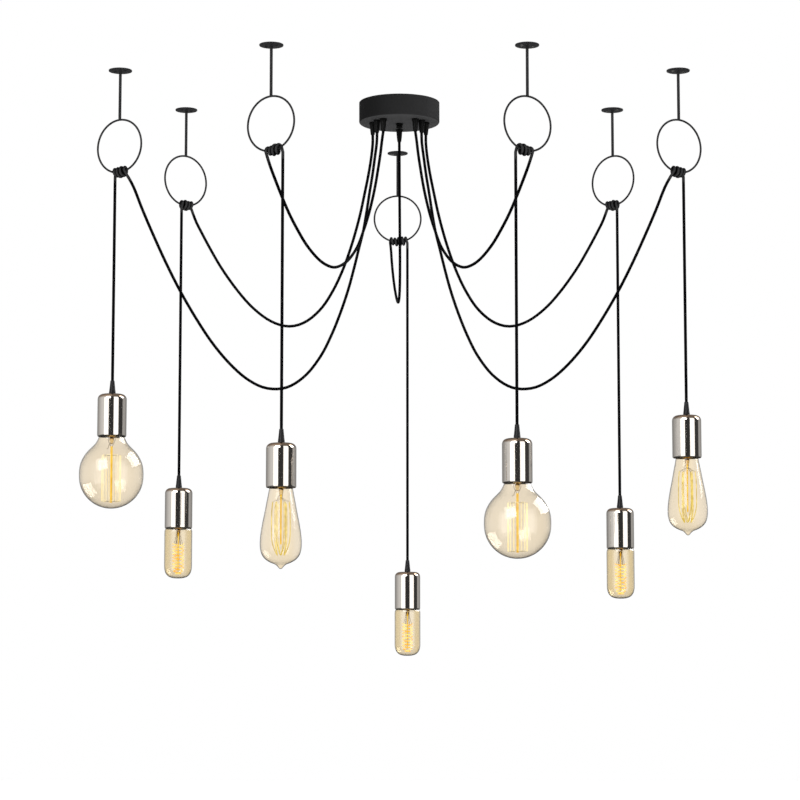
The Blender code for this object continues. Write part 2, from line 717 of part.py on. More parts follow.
def lamp_base_mesh(cage, cutters):
    """The cap, the stem and the filament of a lamp, its origin on top of the cap's contact."""
    radius, start, end = cage
    seat = -CAP_LENGTH
    points = (
        (0, 0),
        (CAP_CONTACT_RADIUS, 0),
        (CAP_CONTACT_RADIUS, -CAP_CONTACT_HEIGHT),
        (CAP_SHOULDER_RADIUS, -CAP_SHOULDER),
        (CAP_RADIUS, -CAP_SHOULDER - CAP_SHOULDER_DROP),
        (CAP_RADIUS, seat),
        (STEM_RADIUS, seat),
        (STEM_TIP_RADIUS, seat - start),
        (STEM_TIP_RADIUS, seat - end),
        (0, seat - end),
    )
    base = place("join_base", profile_mesh("join_base", points), cutters)
    add_screw(base, CAP_SEGMENTS)
    high = seat - start
    low = seat - end + FILAMENT_LEAD
    wire = [Vector((0, 0, high - FILAMENT_LEAD))]
    for leg in range(CAGE_LEGS):
        angle = math.tau * leg / CAGE_LEGS
        top = Vector((radius * math.cos(angle), radius * math.sin(angle), high))
        foot = Vector((radius * CAGE_FOOT_SHARE * math.cos(angle),
                       radius * CAGE_FOOT_SHARE * math.sin(angle), low))
        wire += [top, foot] if leg % 2 == 0 else [foot, top]
    wire.append(Vector((0, 0, high + FILAMENT_LEAD)))
    line = place("join_wire", tube_data("join_wire", wire, FILAMENT_WIRE_RADIUS, 0), cutters)
    cage_part = place("join_filament", evaluated_mesh(line, "join_filament"), cutters)
    bpy.data.objects.remove(line)
    add_boolean(base, set_as_cutter(cage_part), "UNION")
    mesh = evaluated_mesh(set_as_cutter(base), "lamp_base")
    for part in (base, cage_part):
        bpy.data.objects.remove(part)
    smooth(mesh)
    return mesh


def glass_points(lamp):
    """The outline of a lamp's glass, down from its neck."""
    radius, length, shares = GLASS_OUTLINES[lamp]
    spots = [(radius * across, -length * down) for across, down in shares]
    return [(GLASS_NECK_RADIUS, 0), (GLASS_NECK_RADIUS, -GLASS_NECK), *spots, (0, -length)]


def add_glass_wall(item, lamp):
    """Turn a glass outline and give it its wall, inwards."""
    add_screw(item, GLASS_SEGMENTS[lamp])
    wall = item.modifiers.new("wall", "SOLIDIFY")
    wall.thickness = GLASS_WALL
    wall.offset = -1
    wall.use_even_offset = True


def arm_frame(arm):
    """The plan place, the ring's tangent and the canopy's side of an arm's ring."""
    _, side, plan, ring_degrees, *_ = arm
    origin = Vector((side * plan[0], plan[1], 0))
    turn = math.radians(side * ring_degrees)
    tangent = Vector((math.cos(turn), math.sin(turn), 0))
    inward = Vector((-tangent.y, tangent.x, 0))
    if inward.dot(origin) > 0:
        inward.negate()
    return origin, turn, tangent, inward


def make_arm(arm, grip_spot, meshes, collection, finishes):
    """Everything from one cord grip in the canopy to the lamp at the end of its cord."""
    name, side, _, _, _, drop, lamp, drop_end, turns, fullest, route, bow = arm
    origin, turn, tangent, inward = arm_frame(arm)
    if name == "back":
        end = drop_end
    else:
        end = -side * drop_end
    place("hanger_" + name, meshes["hanger"], collection, finishes["hanger_black"], origin, turn)
    grip = Vector((*grip_spot, -CANOPY_HEIGHT))
    fitting = place("canopy_grip_" + name, meshes["canopy_grip"], collection,
                    finishes["grip_black"], grip)
    add_screw(fitting, GRIP_SEGMENTS)

    winding = winding_points(origin, tangent, inward, end, turns, fullest)
    aim = origin + tangent * (end - math.copysign(SWAG_AIM, end))
    route_points = swag_points(grip, route, bow, aim, winding)
    swag = tube_data("swag_cord_" + name, [spot - grip for spot in route_points], CORD_RADIUS, 1)
    place("swag_cord_" + name, swag, collection, finishes["cord_black"], grip)
    total = sum((b - a).length for a, b in zip(route_points, route_points[1:]))
    print(f"swag {name}: {total:.4f} m of cord, {len(route_points)} points,"
          f" least gap to itself {least_gap(route_points, CORD_RADIUS) * 1000:.2f} mm")

    pivot = bpy.data.objects.new("swing_" + name, None)
    collection.objects.link(pivot)
    pivot.location = route_points[-1] - Vector((0, 0, 2 * TOUCH_GAP))
    print(f"swing {name}: pivot {tuple(round(v, 5) for v in pivot.location)},"
          f" axis {tuple(round(v, 5) for v in tangent)}, inward {tuple(round(v, 5) for v in inward)}")

    sheath = drop + HOLDER_GRIP_HEIGHT - HOLDER_GRIP_FLOOR - TOUCH_GAP
    cord = tube_data("drop_cord_" + name, [Vector((0, 0, 0)), Vector((0, 0, -sheath))], CORD_RADIUS, 2)
    place("drop_cord_" + name, cord, collection, finishes["cord_black"], parent=pivot)
    cup_top = (0, 0, -drop - HOLDER_GRIP_HEIGHT)
    cup = place("cup_" + name, meshes["cup"], collection, finishes["satin_nickel"], cup_top, parent=pivot)
    add_screw(cup, CUP_SEGMENTS)
    holder = place("lampholder_" + name, meshes["lampholder"], collection,
                   finishes["holder_black"], cup_top, parent=pivot)
    add_screw(holder, HOLDER_SEGMENTS)

    seat = bpy.data.objects.new("socket_" + name, None)
    collection.objects.link(seat)
    seat.parent = pivot
    socket_ceiling = -CUP_HEIGHT + HOLDER_RECESS + HOLDER_SOCKET_DEPTH
    seat.location = (0, 0, cup_top[2] + socket_ceiling - CAP_SEAT_GAP)
    place("bulb_base_" + name, meshes["base_" + lamp], collection, finishes["lamp_cap"], parent=seat)
    glass = place("bulb_glass_" + name, meshes["glass_" + lamp], collection, finishes["amber_glass"],
                  (0, 0, -CAP_LENGTH - TOUCH_GAP), parent=seat)
    add_glass_wall(glass, lamp)


def main():
    """Build the chandelier."""
    empty_scene()
    collection = new_collection(OBJECT_NAME)
    cutters = new_collection(OBJECT_NAME + "_cutters")
    finishes = make_finishes()
    make_bracket(collection, cutters, finishes)
    make_canopy(collection, cutters, finishes)
    make_knob(collection, finishes)
    make_terminal_block(collection, cutters, finishes)
    meshes = {
        "hanger": hanger_mesh(cutters),
        "canopy_grip": canopy_grip_mesh(),
        "cup": cup_mesh(),
        "lampholder": holder_mesh(),
    }
    for lamp, cage in (("globe", GLOBE_CAGE), ("pear", PEAR_CAGE), ("tube", TUBE_CAGE)):
        meshes["base_" + lamp] = lamp_base_mesh(cage, cutters)
        meshes["glass_" + lamp] = profile_mesh("glass_" + lamp, glass_points(lamp))
    for arm, (_, grip_spot) in zip(ARMS, grip_places()):
        make_arm(arm, grip_spot, meshes, collection, finishes)
    bpy.context.view_layer.update()


main()
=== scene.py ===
"""The dressed model of a seven-light swag chandelier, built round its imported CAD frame.

Lengths are metres, +Z is up and the origin is on the ceiling over the middle of the canopy, as in
the part's own source. The viewer stands on the -Y side, so near means -Y and left means -X.
"""

import logging
import math
from dataclasses import dataclass
from enum import Enum
from typing import Sequence

import bmesh
import bpy
from mathutils import Matrix, Vector


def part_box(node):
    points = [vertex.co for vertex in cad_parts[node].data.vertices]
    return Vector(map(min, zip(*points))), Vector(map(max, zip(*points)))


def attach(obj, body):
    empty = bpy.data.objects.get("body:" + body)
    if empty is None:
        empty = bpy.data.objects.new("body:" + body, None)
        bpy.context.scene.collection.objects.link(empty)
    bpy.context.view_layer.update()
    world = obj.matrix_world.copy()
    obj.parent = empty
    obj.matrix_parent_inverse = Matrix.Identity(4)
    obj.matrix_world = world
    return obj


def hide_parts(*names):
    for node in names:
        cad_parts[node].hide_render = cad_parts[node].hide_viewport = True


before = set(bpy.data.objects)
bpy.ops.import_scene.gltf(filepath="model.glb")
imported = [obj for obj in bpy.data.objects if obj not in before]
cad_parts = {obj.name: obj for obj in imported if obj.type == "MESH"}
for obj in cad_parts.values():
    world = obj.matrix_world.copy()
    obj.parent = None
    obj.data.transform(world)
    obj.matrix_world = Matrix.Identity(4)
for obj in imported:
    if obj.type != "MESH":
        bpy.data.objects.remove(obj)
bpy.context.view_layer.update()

LOG = logging.getLogger("chandelier")

# How meshes are finished: where edges stay sharp and which points are merged
CREASE_DEGREES = 35.0
MERGE_DISTANCE = 0.000002

# How finely the curves are drawn
FAIR_PARTS = 12
DROP_PARTS = 12

Point2 = tuple[float, float]
Colour = tuple[float, float, float]
Profile = Sequence[Point2]


def tenths(*points: tuple[int, int]) -> Profile:
    """Points in metres from points in tenths of a millimetre."""
    return [(across / 10000, height / 10000) for across, height in points]


# Sizes that this file repeats from the part's source
TOUCH_GAP = 0.0003
CORD_RADIUS = 0.00225
CORD_FIT = 0.0003
CANOPY_RADIUS = 0.0635
CANOPY_HEIGHT = 0.0335
CANOPY_WALL = 0.001
GRIP_CIRCLE = 0.0427
GRIP_LENGTH = 0.0205
CORD_INNER_END = 0.009
PLATE_THICKNESS = 0.002
PLATE_SCREW_PLACE = 0.0092
ROD_LENGTH = 0.0725
RING_RADIUS = 0.040
RING_WIRE_RADIUS = 0.0015
CUP_RADIUS = 0.0215
CUP_HEIGHT = 0.063
CUP_WALL = 0.0012
CUP_SHOULDER = 0.008
CUP_HOLE_RADIUS = 0.0044
HOLDER_GRIP_HEIGHT = 0.020
HOLDER_GRIP_FLOOR = 0.002
HOLDER_RECESS = 0.004
HOLDER_SOCKET_DEPTH = 0.0295
CAP_RADIUS = 0.0130
CAP_LENGTH = 0.027
CAP_FIT = 0.0007
CAP_SEAT_GAP = 0.0005

# How the cord is wound round the foot of a ring
SIDE_TURNS = 3.5
BACK_TURNS = 4.5
WINDING_PITCH = 0.0062
WINDING_CLEARANCE = 0.0009
WINDING_BULGE = 0.0022
WINDING_BULGE_POWER = 1.5
WINDING_START_DEGREES = -20.0
WINDING_RUN_OUT = 0.006
WINDING_SIDESTEP = 0.0018
SWAG_AIM = 0.0275
CORD_OVERHANG = 0.0004
WINDING_POINTS = 16
CORD_STEP = 0.008

# The inner layer between the turns: its points, the share of the winding it fills, how deep it lies
CORE_POINTS = range(3, 18)
CORE_PARTS = 20
CORE_DEPTH = 0.45

# The screw thread that the caps and the sockets share
THREAD_PITCH = 0.0036


class Lamp(Enum):
    """The shapes of lamp that hang from the cords."""

    GLOBE = "globe"
    PEAR = "pear"
    TUBE = "tube"


# Shader expressions. A span is where a step starts and ends, along a part of the normal or an angle.

# Spans of painted shade on round shoulders and on left sides, of painted light on undersides, of the
# glass's painted side shading and of the cords' painted highlight
SHOULDER_SHADE_SPAN, SHOULDER_SHADE_END_SPAN = (0.10, 0.55), (0.85, 0.99)
LEFT_SHADE_SPAN, UNDER_LIGHT_SPAN, GLASS_SIDE_SHADING_SPAN = (-0.3, 0.9), (0.5, 0.9), (0.30, 0.85)
TURN_HIGHLIGHT_SPAN, GLASS_EDGE_SPAN = (0.10, 0.50), (0.70, 0.98)
STREAK_SPAN, HEAT_SPAN, RAY_SPAN = (0.3, 0.7), (0.35, 0.65), (0.4, 0.6)
PATCH_SCALE, STREAK_SCALE, HEAT_SCALE = 40.0, 14.0, 120.0
BUMP_STRENGTH = 0.6
UNLIT_SHARE = 0.1


class Paint:
    """The node tree of a material or a world, with one method that adds any node."""

    def __init__(self, name: str, sky: bool = False) -> None:
        """Start a material or a world with only its output and its shader.

        Args:
            name: the name of the material or the world.
            sky: whether it is a world.
        """
        made = (bpy.data.worlds if sky else bpy.data.materials).new(name)
        made.use_nodes = True
        self.owner: bpy.types.Material | bpy.types.World = made
        self.tree = made.node_tree
        self.shader = self.tree.nodes["Background" if sky else "Principled BSDF"]

    def node(self, kind: str, settings: dict | None = None,
             sockets: dict | None = None) -> bpy.types.Node:
        """Add a node.

        Args:
            kind: the node's type.
            settings: attributes to set first, such as a Math node's operation.
            sockets: values or signals for its inputs, by name or index.

        Returns:
            The new node.
        """
        made = self.tree.nodes.new(kind)
        for key, value in (settings or {}).items():
            setattr(made, key, value)
        for key, value in (sockets or {}).items():
            self.feed(made.inputs[key], value)
        return made

    def signal(self, kind: str, output: str | int = 0, settings: dict | None = None,
               sockets: dict | None = None) -> "Signal":
        """Add a node and take one of its outputs as a signal."""
        return Signal(self, self.node(kind, settings, sockets).outputs[output])

    def feed(self, socket: bpy.types.NodeSocket, value: object) -> None:
        """Link a signal to a socket, or set the socket's own value.

        Args:
            socket: the socket.
            value: the signal, or a number or colour.
        """
        if isinstance(value, Signal):
            self.tree.links.new(value.socket, socket)
        else:
            socket.default_value = value

    def dress(self, values: dict[str, object]) -> None:
        """Feed the shader's inputs, by name, with signals or fixed values."""
        for name, value in values.items():
            self.feed(self.shader.inputs[name], value)

    def place(self, kind: str) -> "list[Signal]":
        """Give the three parts of a texture coordinate, such as Object or Normal."""
        split = self.node("ShaderNodeSeparateXYZ", None, {0: self.signal("ShaderNodeTexCoord", kind)})
        return [Signal(self, output) for output in split.outputs]

    def edge(self) -> "Signal":
        """Rise from 0 where the surface faces the eye to 1 where it turns away."""
        return self.signal("ShaderNodeLayerWeight", "Facing", None, {"Blend": 0.5})

    def blend(self, share: "Signal", first: "Colour | Signal",
              second: "Colour | Signal") -> "Signal":
        """Mix two colours by a share.

        Args:
            share: how much of the second colour shows.
            first: the colour where the share is 0.
            second: the colour where it is 1.

        Returns:
            The mixed colour.
        """
        mixed = self.node("ShaderNodeMix", {"data_type": "RGBA"})
        self.feed(mixed.inputs["Factor"], share)
        for socket, colour in ((mixed.inputs[6], first), (mixed.inputs[7], second)):
            self.feed(socket, colour if isinstance(colour, Signal) else (*colour, 1.0))
        return Signal(self, mixed.outputs[2])

    def noise(self, scale: float, detail: float = 2.0, upright: float = 1.0) -> "Signal":
        """Noise over the piece, from 0 to 1, drawn out along Z where upright is under 1.

        Args:
            scale: how fine it is.
            detail: how many finer layers it has.
            upright: its scale along Z.

        Returns:
            The noise.
        """
        spot = self.signal("ShaderNodeTexCoord", "Object")
        if upright != 1.0:
            spot = self.signal("ShaderNodeMapping", 0, None,
                               {"Vector": spot, "Scale": (1.0, 1.0, upright)})
        return self.signal("ShaderNodeTexNoise", 0, None,
                           {"Vector": spot, "Scale": scale, "Detail": detail})


class Signal:
    """An output socket that takes part in sums."""

    def __init__(self, paint: Paint, socket: bpy.types.NodeSocket) -> None:
        """Wrap a socket of a paint's tree."""
        self.paint = paint
        self.socket = socket

    def _math(self, operation: str, first: object, second: object) -> "Signal":
        """Add a Math node on two values."""
        return self.paint.signal("ShaderNodeMath", 0, {"operation": operation}, {0: first, 1: second})

    def __add__(self, other: object) -> "Signal":
        """Add a value."""
        return self._math("ADD", self, other)

    def __radd__(self, other: object) -> "Signal":
        """Add to a value."""
        return self._math("ADD", other, self)

    def __sub__(self, other: object) -> "Signal":
        """Take a value away."""
        return self._math("SUBTRACT", self, other)

    def __rsub__(self, other: object) -> "Signal":
        """Take this away from a value."""
        return self._math("SUBTRACT", other, self)

    def __mul__(self, other: object) -> "Signal":
        """Multiply by a value."""
        return self._math("MULTIPLY", self, other)

    def __rmul__(self, other: object) -> "Signal":
        """Multiply a value by this."""
        return self._math("MULTIPLY", other, self)

    def step(self, low: float, high: float) -> "Signal":
        """Rise smoothly from 0 at low to 1 at high.

        Args:
            low: where it starts.
            high: where it ends.

        Returns:
            The share.
        """
        return self.paint.signal(
            "ShaderNodeMapRange", 0, {"interpolation_type": "SMOOTHSTEP"},
            {"Value": self, "From Min": low, "From Max": high, "To Min": 0.0, "To Max": 1.0})


@dataclass(frozen=True)
class Coating:
    """A paint, moulding or plate with faint patches and a fine grain.

    The last three fields paint shade on its round shoulders, paint shade on its left and paint light on
    its underside.
    """

    name: str
    slot: str
    colour: Colour
    roughness: float
    metallic: float = 0.0
    spread: float = 0.10
    shade: float = 0.12
    grain_scale: float = 900.0
    grain_depth: float = 0.00002
    gloss: float = 0.5
    shoulder: float = 0.0
    left: float = 0.0
    under: float = 0.0

    def tone(self, factor: float, fade: float = 0.0) -> Colour:
        """The colour times a factor, which green and blue take further where fade is over 0."""
        return tuple(min(1.0, part * factor ** (1 + at * fade)) for at, part in enumerate(self.colour))

    def material(self) -> bpy.types.Material:
        """Make the finish.

        Returns:
            The material.
        """
        paint = Paint(self.name)
        patches = paint.noise(PATCH_SCALE)
        body = paint.blend(patches, self.tone(1.0 - self.shade), self.tone(1.0 + self.shade))
        east, _, rise = paint.place("Normal")
        # painted shade: the round shoulders, between the side and the crown, are darker and a little brown
        if self.shoulder > 0:
            rounded = rise.step(*SHOULDER_SHADE_SPAN) * (1.0 - rise.step(*SHOULDER_SHADE_END_SPAN))
            body = paint.blend(rounded, body, self.tone(1.0 - self.shoulder, 0.5))
        # painted shade: faces turned to the left are darker
        if self.left > 0:
            body = paint.blend((east * -1.0).step(*LEFT_SHADE_SPAN), body, self.tone(1.0 - self.left))
        # painted light: faces turned down are lighter
        if self.under > 0:
            body = paint.blend((rise * -1.0).step(*UNDER_LIGHT_SPAN), body, self.tone(1.0 + self.under))
        paint.dress({"Base Color": body, "Roughness": (patches - 0.5) * self.spread + self.roughness,
                     "Metallic": self.metallic, "Specular IOR Level": self.gloss})
        if self.grain_depth > 0:
            grain = {"Strength": BUMP_STRENGTH, "Distance": self.grain_depth,
                     "Height": paint.noise(self.grain_scale)}
            paint.dress({"Normal": paint.signal("ShaderNodeBump", 0, None, grain)})
        return paint.owner


@dataclass(frozen=True)
class Sheath:
    """A cord's sheath, with a painted highlight along the middle of the turns round a ring.

    The turns are where the squared distance from the canopy's axis and the height are past bounds.
    """

    name: str
    slot: str
    colour: Colour
    # lit: the colour of the painted highlight on the turns
    lit: Colour
    roughness: float
    gloss: float
    far: Point2 = (0.06, 0.08)
    high: Point2 = (-0.172, -0.165)

    def material(self) -> bpy.types.Material:
        """Make the finish.

        Returns:
            The material.
        """
        paint = Paint(self.name)
        east, north, up = paint.place("Object")
        wound = (east * east + north * north).step(*self.far) * up.step(*self.high)
        # painted highlight: the middle of each turn is lighter, its edges stay dark
        lit = wound * (1.0 - paint.edge().step(*TURN_HIGHLIGHT_SPAN))
        paint.dress({"Base Color": paint.blend(lit, self.colour, self.lit),
                     "Roughness": self.roughness, "Specular IOR Level": self.gloss})
        return paint.owner


@dataclass(frozen=True)
class ClearGlass:
    """Blown glass, tinted a little at each of its faces, with its own tint outmost and a tint on its left
    that is painted shading.
    """

    name: str
    slot: str
    tint: Colour
    deep_tint: Colour
    edge_tint: Colour
    # the tint of the painted shading on the left side
    left_painted_shading: Colour
    bend: float = 1.45

    def material(self) -> bpy.types.Material:
        """Make the finish.

        Returns:
            The material.
        """
        paint = Paint(self.name)
        streaks = paint.noise(STREAK_SCALE, 1.0, upright=0.25)
        body = paint.blend(streaks.step(*STREAK_SPAN), self.tint, self.deep_tint)
        east, _, _ = paint.place("Normal")
        # painted shading: faces turned to the left take their own tint
        body = paint.blend((east * -1.0).step(*GLASS_SIDE_SHADING_SPAN), body, self.left_painted_shading)
        body = paint.blend(paint.edge().step(*GLASS_EDGE_SPAN), body, self.edge_tint)
        paint.dress({"Base Color": body, "Roughness": 0.0, "IOR": self.bend,
                     "Transmission Weight": 1.0})
        return paint.owner


@dataclass(frozen=True)
class Glow:
    """A lit wire, a little hotter in some places than in others."""

    name: str
    slot: str
    colour: Colour
    hot_colour: Colour
    strength: float

    def material(self) -> bpy.types.Material:
        """Make the finish.

        Returns:
            The material.
        """
        paint = Paint(self.name)
        heat = paint.noise(HEAT_SCALE).step(*HEAT_SPAN)
        unlit = (*(part * UNLIT_SHARE for part in self.colour), 1.0)
        paint.dress({"Base Color": unlit, "Roughness": 0.4, "Emission Strength": self.strength,
                     "Emission Color": paint.blend(heat, self.colour, self.hot_colour)})
        return paint.owner


# CANOPY_BLACK's left=0.55 is painted shade on its left side, and under=1.0 painted light on its underside
CANOPY_BLACK = Coating("canopy_powder_black", "canopy_black", (0.022, 0.022, 0.0225), 0.46,
                       grain_scale=1400.0, grain_depth=0.00003, gloss=0.01, left=0.55, under=1.0)
NUT_BLACK = Coating("canopy_nut_black", "canopy_black", (0.003, 0.003, 0.003), 0.40, gloss=0.15)
HANGER_BLACK = Coating("hanger_satin_black", "hanger_black", (0.017, 0.017, 0.018), 0.36,
                       grain_depth=0.0, gloss=0.12)
# The cord's second colour is a painted highlight on the turns round the rings
CORD_BLACK = Sheath("cord_sheath_black", "cord_black", (0.001, 0.001, 0.0015), (0.034, 0.034, 0.035),
                    0.42, 0.02)
CORE_BLACK = Coating("cord_inner_layer", "cord_black", (0.002, 0.002, 0.002), 0.7, gloss=0.02)
CANOPY_GRIP_BLACK = Coating("canopy_grip_black", "grip_black", (0.004, 0.004, 0.004), 0.45, gloss=0.08)
ZINC = Coating("zinc_plate", "zinc_steel", (0.62, 0.62, 0.60), 0.36, 1.0, spread=0.2)
TERMINAL_WHITE = Coating("terminal_moulding", "terminal_white", (0.78, 0.77, 0.72), 0.48)
SCREW_STEEL = Coating("screw_steel", "zinc_steel", (0.60, 0.60, 0.58), 0.28, 1.0)
# NICKEL's shoulder=0.45 is painted shade on the cups' round shoulders
NICKEL = Coating("polished_nickel", "satin_nickel", (0.80, 0.748, 0.685), 0.085, 1.0, spread=0.04,
                 shade=0.03, grain_depth=0.0, shoulder=0.45)
HOLDER_BLACK = Coating("lampholder_black", "holder_black", (0.006, 0.006, 0.007), 0.40, gloss=0.2)
CAP_METAL = Coating("lamp_cap_metal", "lamp_cap", (0.78, 0.72, 0.58), 0.24, 1.0, spread=0.1)
# Each glass's last tint is painted shading on its left side
AMBER = ClearGlass("amber_envelope", "amber_glass", (0.96, 0.893, 0.78),
                   (0.94, 0.865, 0.74), (0.985, 0.91, 0.775), (0.955, 0.883, 0.765))
PEAR_AMBER = ClearGlass("pear_envelope", "amber_glass", (0.945, 0.875, 0.755),
                        (0.92, 0.84, 0.69), (0.965, 0.92, 0.85), (0.955, 0.90, 0.82), 1.25)
TUBE_AMBER = ClearGlass("tube_envelope", "amber_glass", (0.895, 0.83, 0.71),
                        (0.885, 0.80, 0.64), (0.885, 0.82, 0.68), (0.895, 0.77, 0.51))
ENVELOPES = {Lamp.GLOBE: AMBER, Lamp.PEAR: PEAR_AMBER, Lamp.TUBE: TUBE_AMBER}
STEM_GLASS = ClearGlass("stem_glass", "amber_glass", (0.90, 0.74, 0.42),
                        (0.82, 0.60, 0.26), (0.50, 0.30, 0.10), (0.90, 0.74, 0.42), 1.38)
STRAND_GLOW = Glow("strand_glow", "lamp_cap", (1.0, 0.83, 0.38), (1.0, 0.94, 0.62), 1.25)
LOOP_GLOW = Glow("loop_glow", "lamp_cap", (0.60, 0.43, 0.04), (0.98, 0.80, 0.22), 1.0)
# The rod is no filament: its glow is painted light
ROD_PAINTED_GLOW = Glow("rod_painted_glow", "lamp_cap", (0.80, 0.47, 0.02), (0.95, 0.64, 0.06), 1.1)
COIL_GLOW = Glow("coil_glow", "lamp_cap", (1.0, 0.46, 0.03), (1.0, 0.86, 0.28), 1.3)
LEAD_WIRE = Coating("lead_wire", "lamp_cap", (0.20, 0.13, 0.06), 0.35, 1.0)
SPOKE_WIRE = Coating("spoke_wire", "lamp_cap", (0.62, 0.52, 0.36), 0.35, 0.6)

Look = Coating | Sheath | ClearGlass | Glow


class Dresser:
    """Turns meshes and curves into named pieces with their finish, body and CAD nodes."""

    def __init__(self) -> None:
        """Start with no finish made."""
        self.made: dict[str, bpy.types.Material] = {}

    def finish(self, look: Look) -> bpy.types.Material:
        """Give a finish's material, made once.

        Args:
            look: the finish.

        Returns:
            The material.
        """
        if look.name not in self.made:
            self.made[look.name] = look.material()
        return self.made[look.name]

    def piece(self, name: str, data: bpy.types.ID, look: Look, body: str,
              nodes: Sequence[str] = ()) -> bpy.types.Object:
        """Make a piece that rides on a body.

        Args:
            name: the piece's name.
            data: its mesh or curve, already in place.
            look: its finish.
            body: the CAD body that it moves with.
            nodes: the CAD nodes that it stands for.

        Returns:
            The new object.
        """
        made = bpy.data.objects.new(name, data)
        bpy.context.scene.collection.objects.link(made)
        made.data.materials.clear()
        made.data.materials.append(self.finish(look))
        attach(made, body)
        if nodes:
            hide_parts(*nodes)
        LOG.info("piece %s on %s", name, body)
        return made

    def spun(self, name: str, points: Profile, place: Matrix, steps: int, look: Look, body: str,
             nodes: Sequence[str] = (), closed: bool = False,
             sharp: float = CREASE_DEGREES) -> bpy.types.Object:
        """Make a body of revolution that rides on a body.

        Args:
            name: the piece's name.
            points: its profile of (radius, height).
            place: where its profile's origin goes.
            steps: how many faces go round.
            look: its finish.
            body: the CAD body that it moves with.
            nodes: the CAD nodes that it stands for.
            closed: whether the profile's last point joins its first.
            sharp: the angle in degrees past which an edge stays sharp.

        Returns:
            The new object.
        """
        shape = bmesh.new()
        turned(shape, points, steps, closed)
        return self.piece(name, mesh_of(name, shape, place, sharp), look, body, nodes)

    def keep(self, node: str, look: Coating) -> None:
        """Give a CAD node that stays a better material.

        Args:
            node: the node's name.
            look: the finish.
        """
        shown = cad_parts[node]
        shown.data.materials.clear()
        shown.data.materials.append(self.finish(look))
        LOG.info("kept %s", node)


# Mesh operators


def arc(centre: Point2, radius: float, start: float, end: float, steps: int = 8) -> list[Point2]:
    """Points on an arc of a profile, the angles in degrees from the horizontal."""
    turn = [math.radians(start + (end - start) * step / steps) for step in range(steps + 1)]
    return [(centre[0] + radius * math.cos(a), centre[1] + radius * math.sin(a)) for a in turn]


def fair(points: Profile, parts: int = 6) -> list[Point2]:
    """A smooth line of profile points through the given ones.

    Args:
        points: the points, as (radius, height).
        parts: how many steps lie between two points.

    Returns:
        The line's points.
    """
    spots = [Vector((across, height, 0)) for across, height in points]
    ends = [spots[0] * 2 - spots[1], *spots, spots[-1] * 2 - spots[-2]]
    line = []
    for before, first, second, after in zip(ends, ends[1:], ends[2:], ends[3:]):
        line += [spline_point(before, first, second, after, part / parts) for part in range(parts)]
    line.append(spots[-1])
    return [(max(0.0, spot.x), spot.y) for spot in line]


def spline_point(before: Vector, first: Vector, second: Vector, after: Vector, share: float) -> Vector:
    """A point between first and second on a smooth curve through all four.

    Args:
        before: the point before the two.
        first: the first of the two.
        second: the second of the two.
        after: the point after the two.
        share: how far along, from 0 to 1.

    Returns:
        The point.
    """
    return 0.5 * (2 * first + (second - before) * share
                  + (2 * before - 5 * first + 4 * second - after) * share ** 2
                  + (3 * first - before - 3 * second + after) * share ** 3)


def turned(shape: bmesh.types.BMesh, points: Profile, steps: int, closed: bool = False) -> None:
    """Spin a profile of (radius, height) about the Z axis.

    Args:
        shape: the mesh that takes the result.
        points: the profile.
        steps: how many faces go round.
        closed: whether the profile's last point joins its first.
    """
    line = [shape.verts.new((across, 0, height)) for across, height in points]
    edges = [shape.edges.new(pair) for pair in zip(line, line[1:])]
    if closed:
        edges.append(shape.edges.new((line[-1], line[0])))
    bmesh.ops.spin(shape, geom=line + edges, cent=(0, 0, 0), axis=(0, 0, 1), dvec=(0, 0, 0),
                   angle=math.tau, steps=steps, use_merge=True, use_duplicate=False)
    bmesh.ops.remove_doubles(shape, verts=shape.verts, dist=MERGE_DISTANCE)


def smooth(mesh: bpy.types.Mesh, sharp: float = CREASE_DEGREES) -> bpy.types.Mesh:
    """Shade a mesh smooth, except at edges past an angle in degrees.

    Args:
        mesh: the mesh.
        sharp: the angle past which an edge stays sharp.

    Returns:
        The same mesh.
    """
    mesh.shade_smooth()
    mesh.set_sharp_from_angle(angle=math.radians(sharp))
    return mesh


def merge(shape: bmesh.types.BMesh, part: bmesh.types.BMesh) -> None:
    """Put a part's faces into a shape, and free the part.

    Args:
        shape: the mesh that takes the faces.
        part: the mesh that gives them.
    """
    kept = bpy.data.meshes.new("part")
    part.to_mesh(kept)
    part.free()
    shape.from_mesh(kept)
    bpy.data.meshes.remove(kept)


def mesh_of(name: str, shape: bmesh.types.BMesh, place: Matrix | None = None,
            sharp: float = CREASE_DEGREES) -> bpy.types.Mesh:
    """Finish a bmesh: its place goes in, its faces point out and it is shaded smooth.

    Args:
        name: the mesh's name.
        shape: the bmesh, which is freed.
        place: where the mesh goes.
        sharp: the angle in degrees past which an edge stays sharp.

    Returns:
        The mesh.
    """
    if place is not None:
        bmesh.ops.transform(shape, matrix=place, verts=shape.verts)
    bmesh.ops.recalc_face_normals(shape, faces=shape.faces)
    mesh = bpy.data.meshes.new(name)
    shape.to_mesh(mesh)
    shape.free()
    return smooth(mesh, sharp)


def wire(name: str, lines: Sequence[Sequence[Vector]], radius: float, sides: int) -> bpy.types.Curve:
    """Round wires along lines of points, as one curve with closed ends.

    Args:
        name: the curve's name.
        lines: the points of each wire's middle line.
        radius: the wires' radius.
        sides: how finely they are rounded.

    Returns:
        The curve.
    """
    data = bpy.data.curves.new(name, "CURVE")
    data.dimensions = "3D"
    data.twist_mode = "MINIMUM"
    data.bevel_depth = radius
    data.bevel_resolution = sides
    data.use_fill_caps = True
    for points in lines:
        line = data.splines.new("POLY")
        line.points.add(len(points) - 1)
        for point, spot in zip(line.points, points):
            point.co = (*spot, 1.0)
    return data


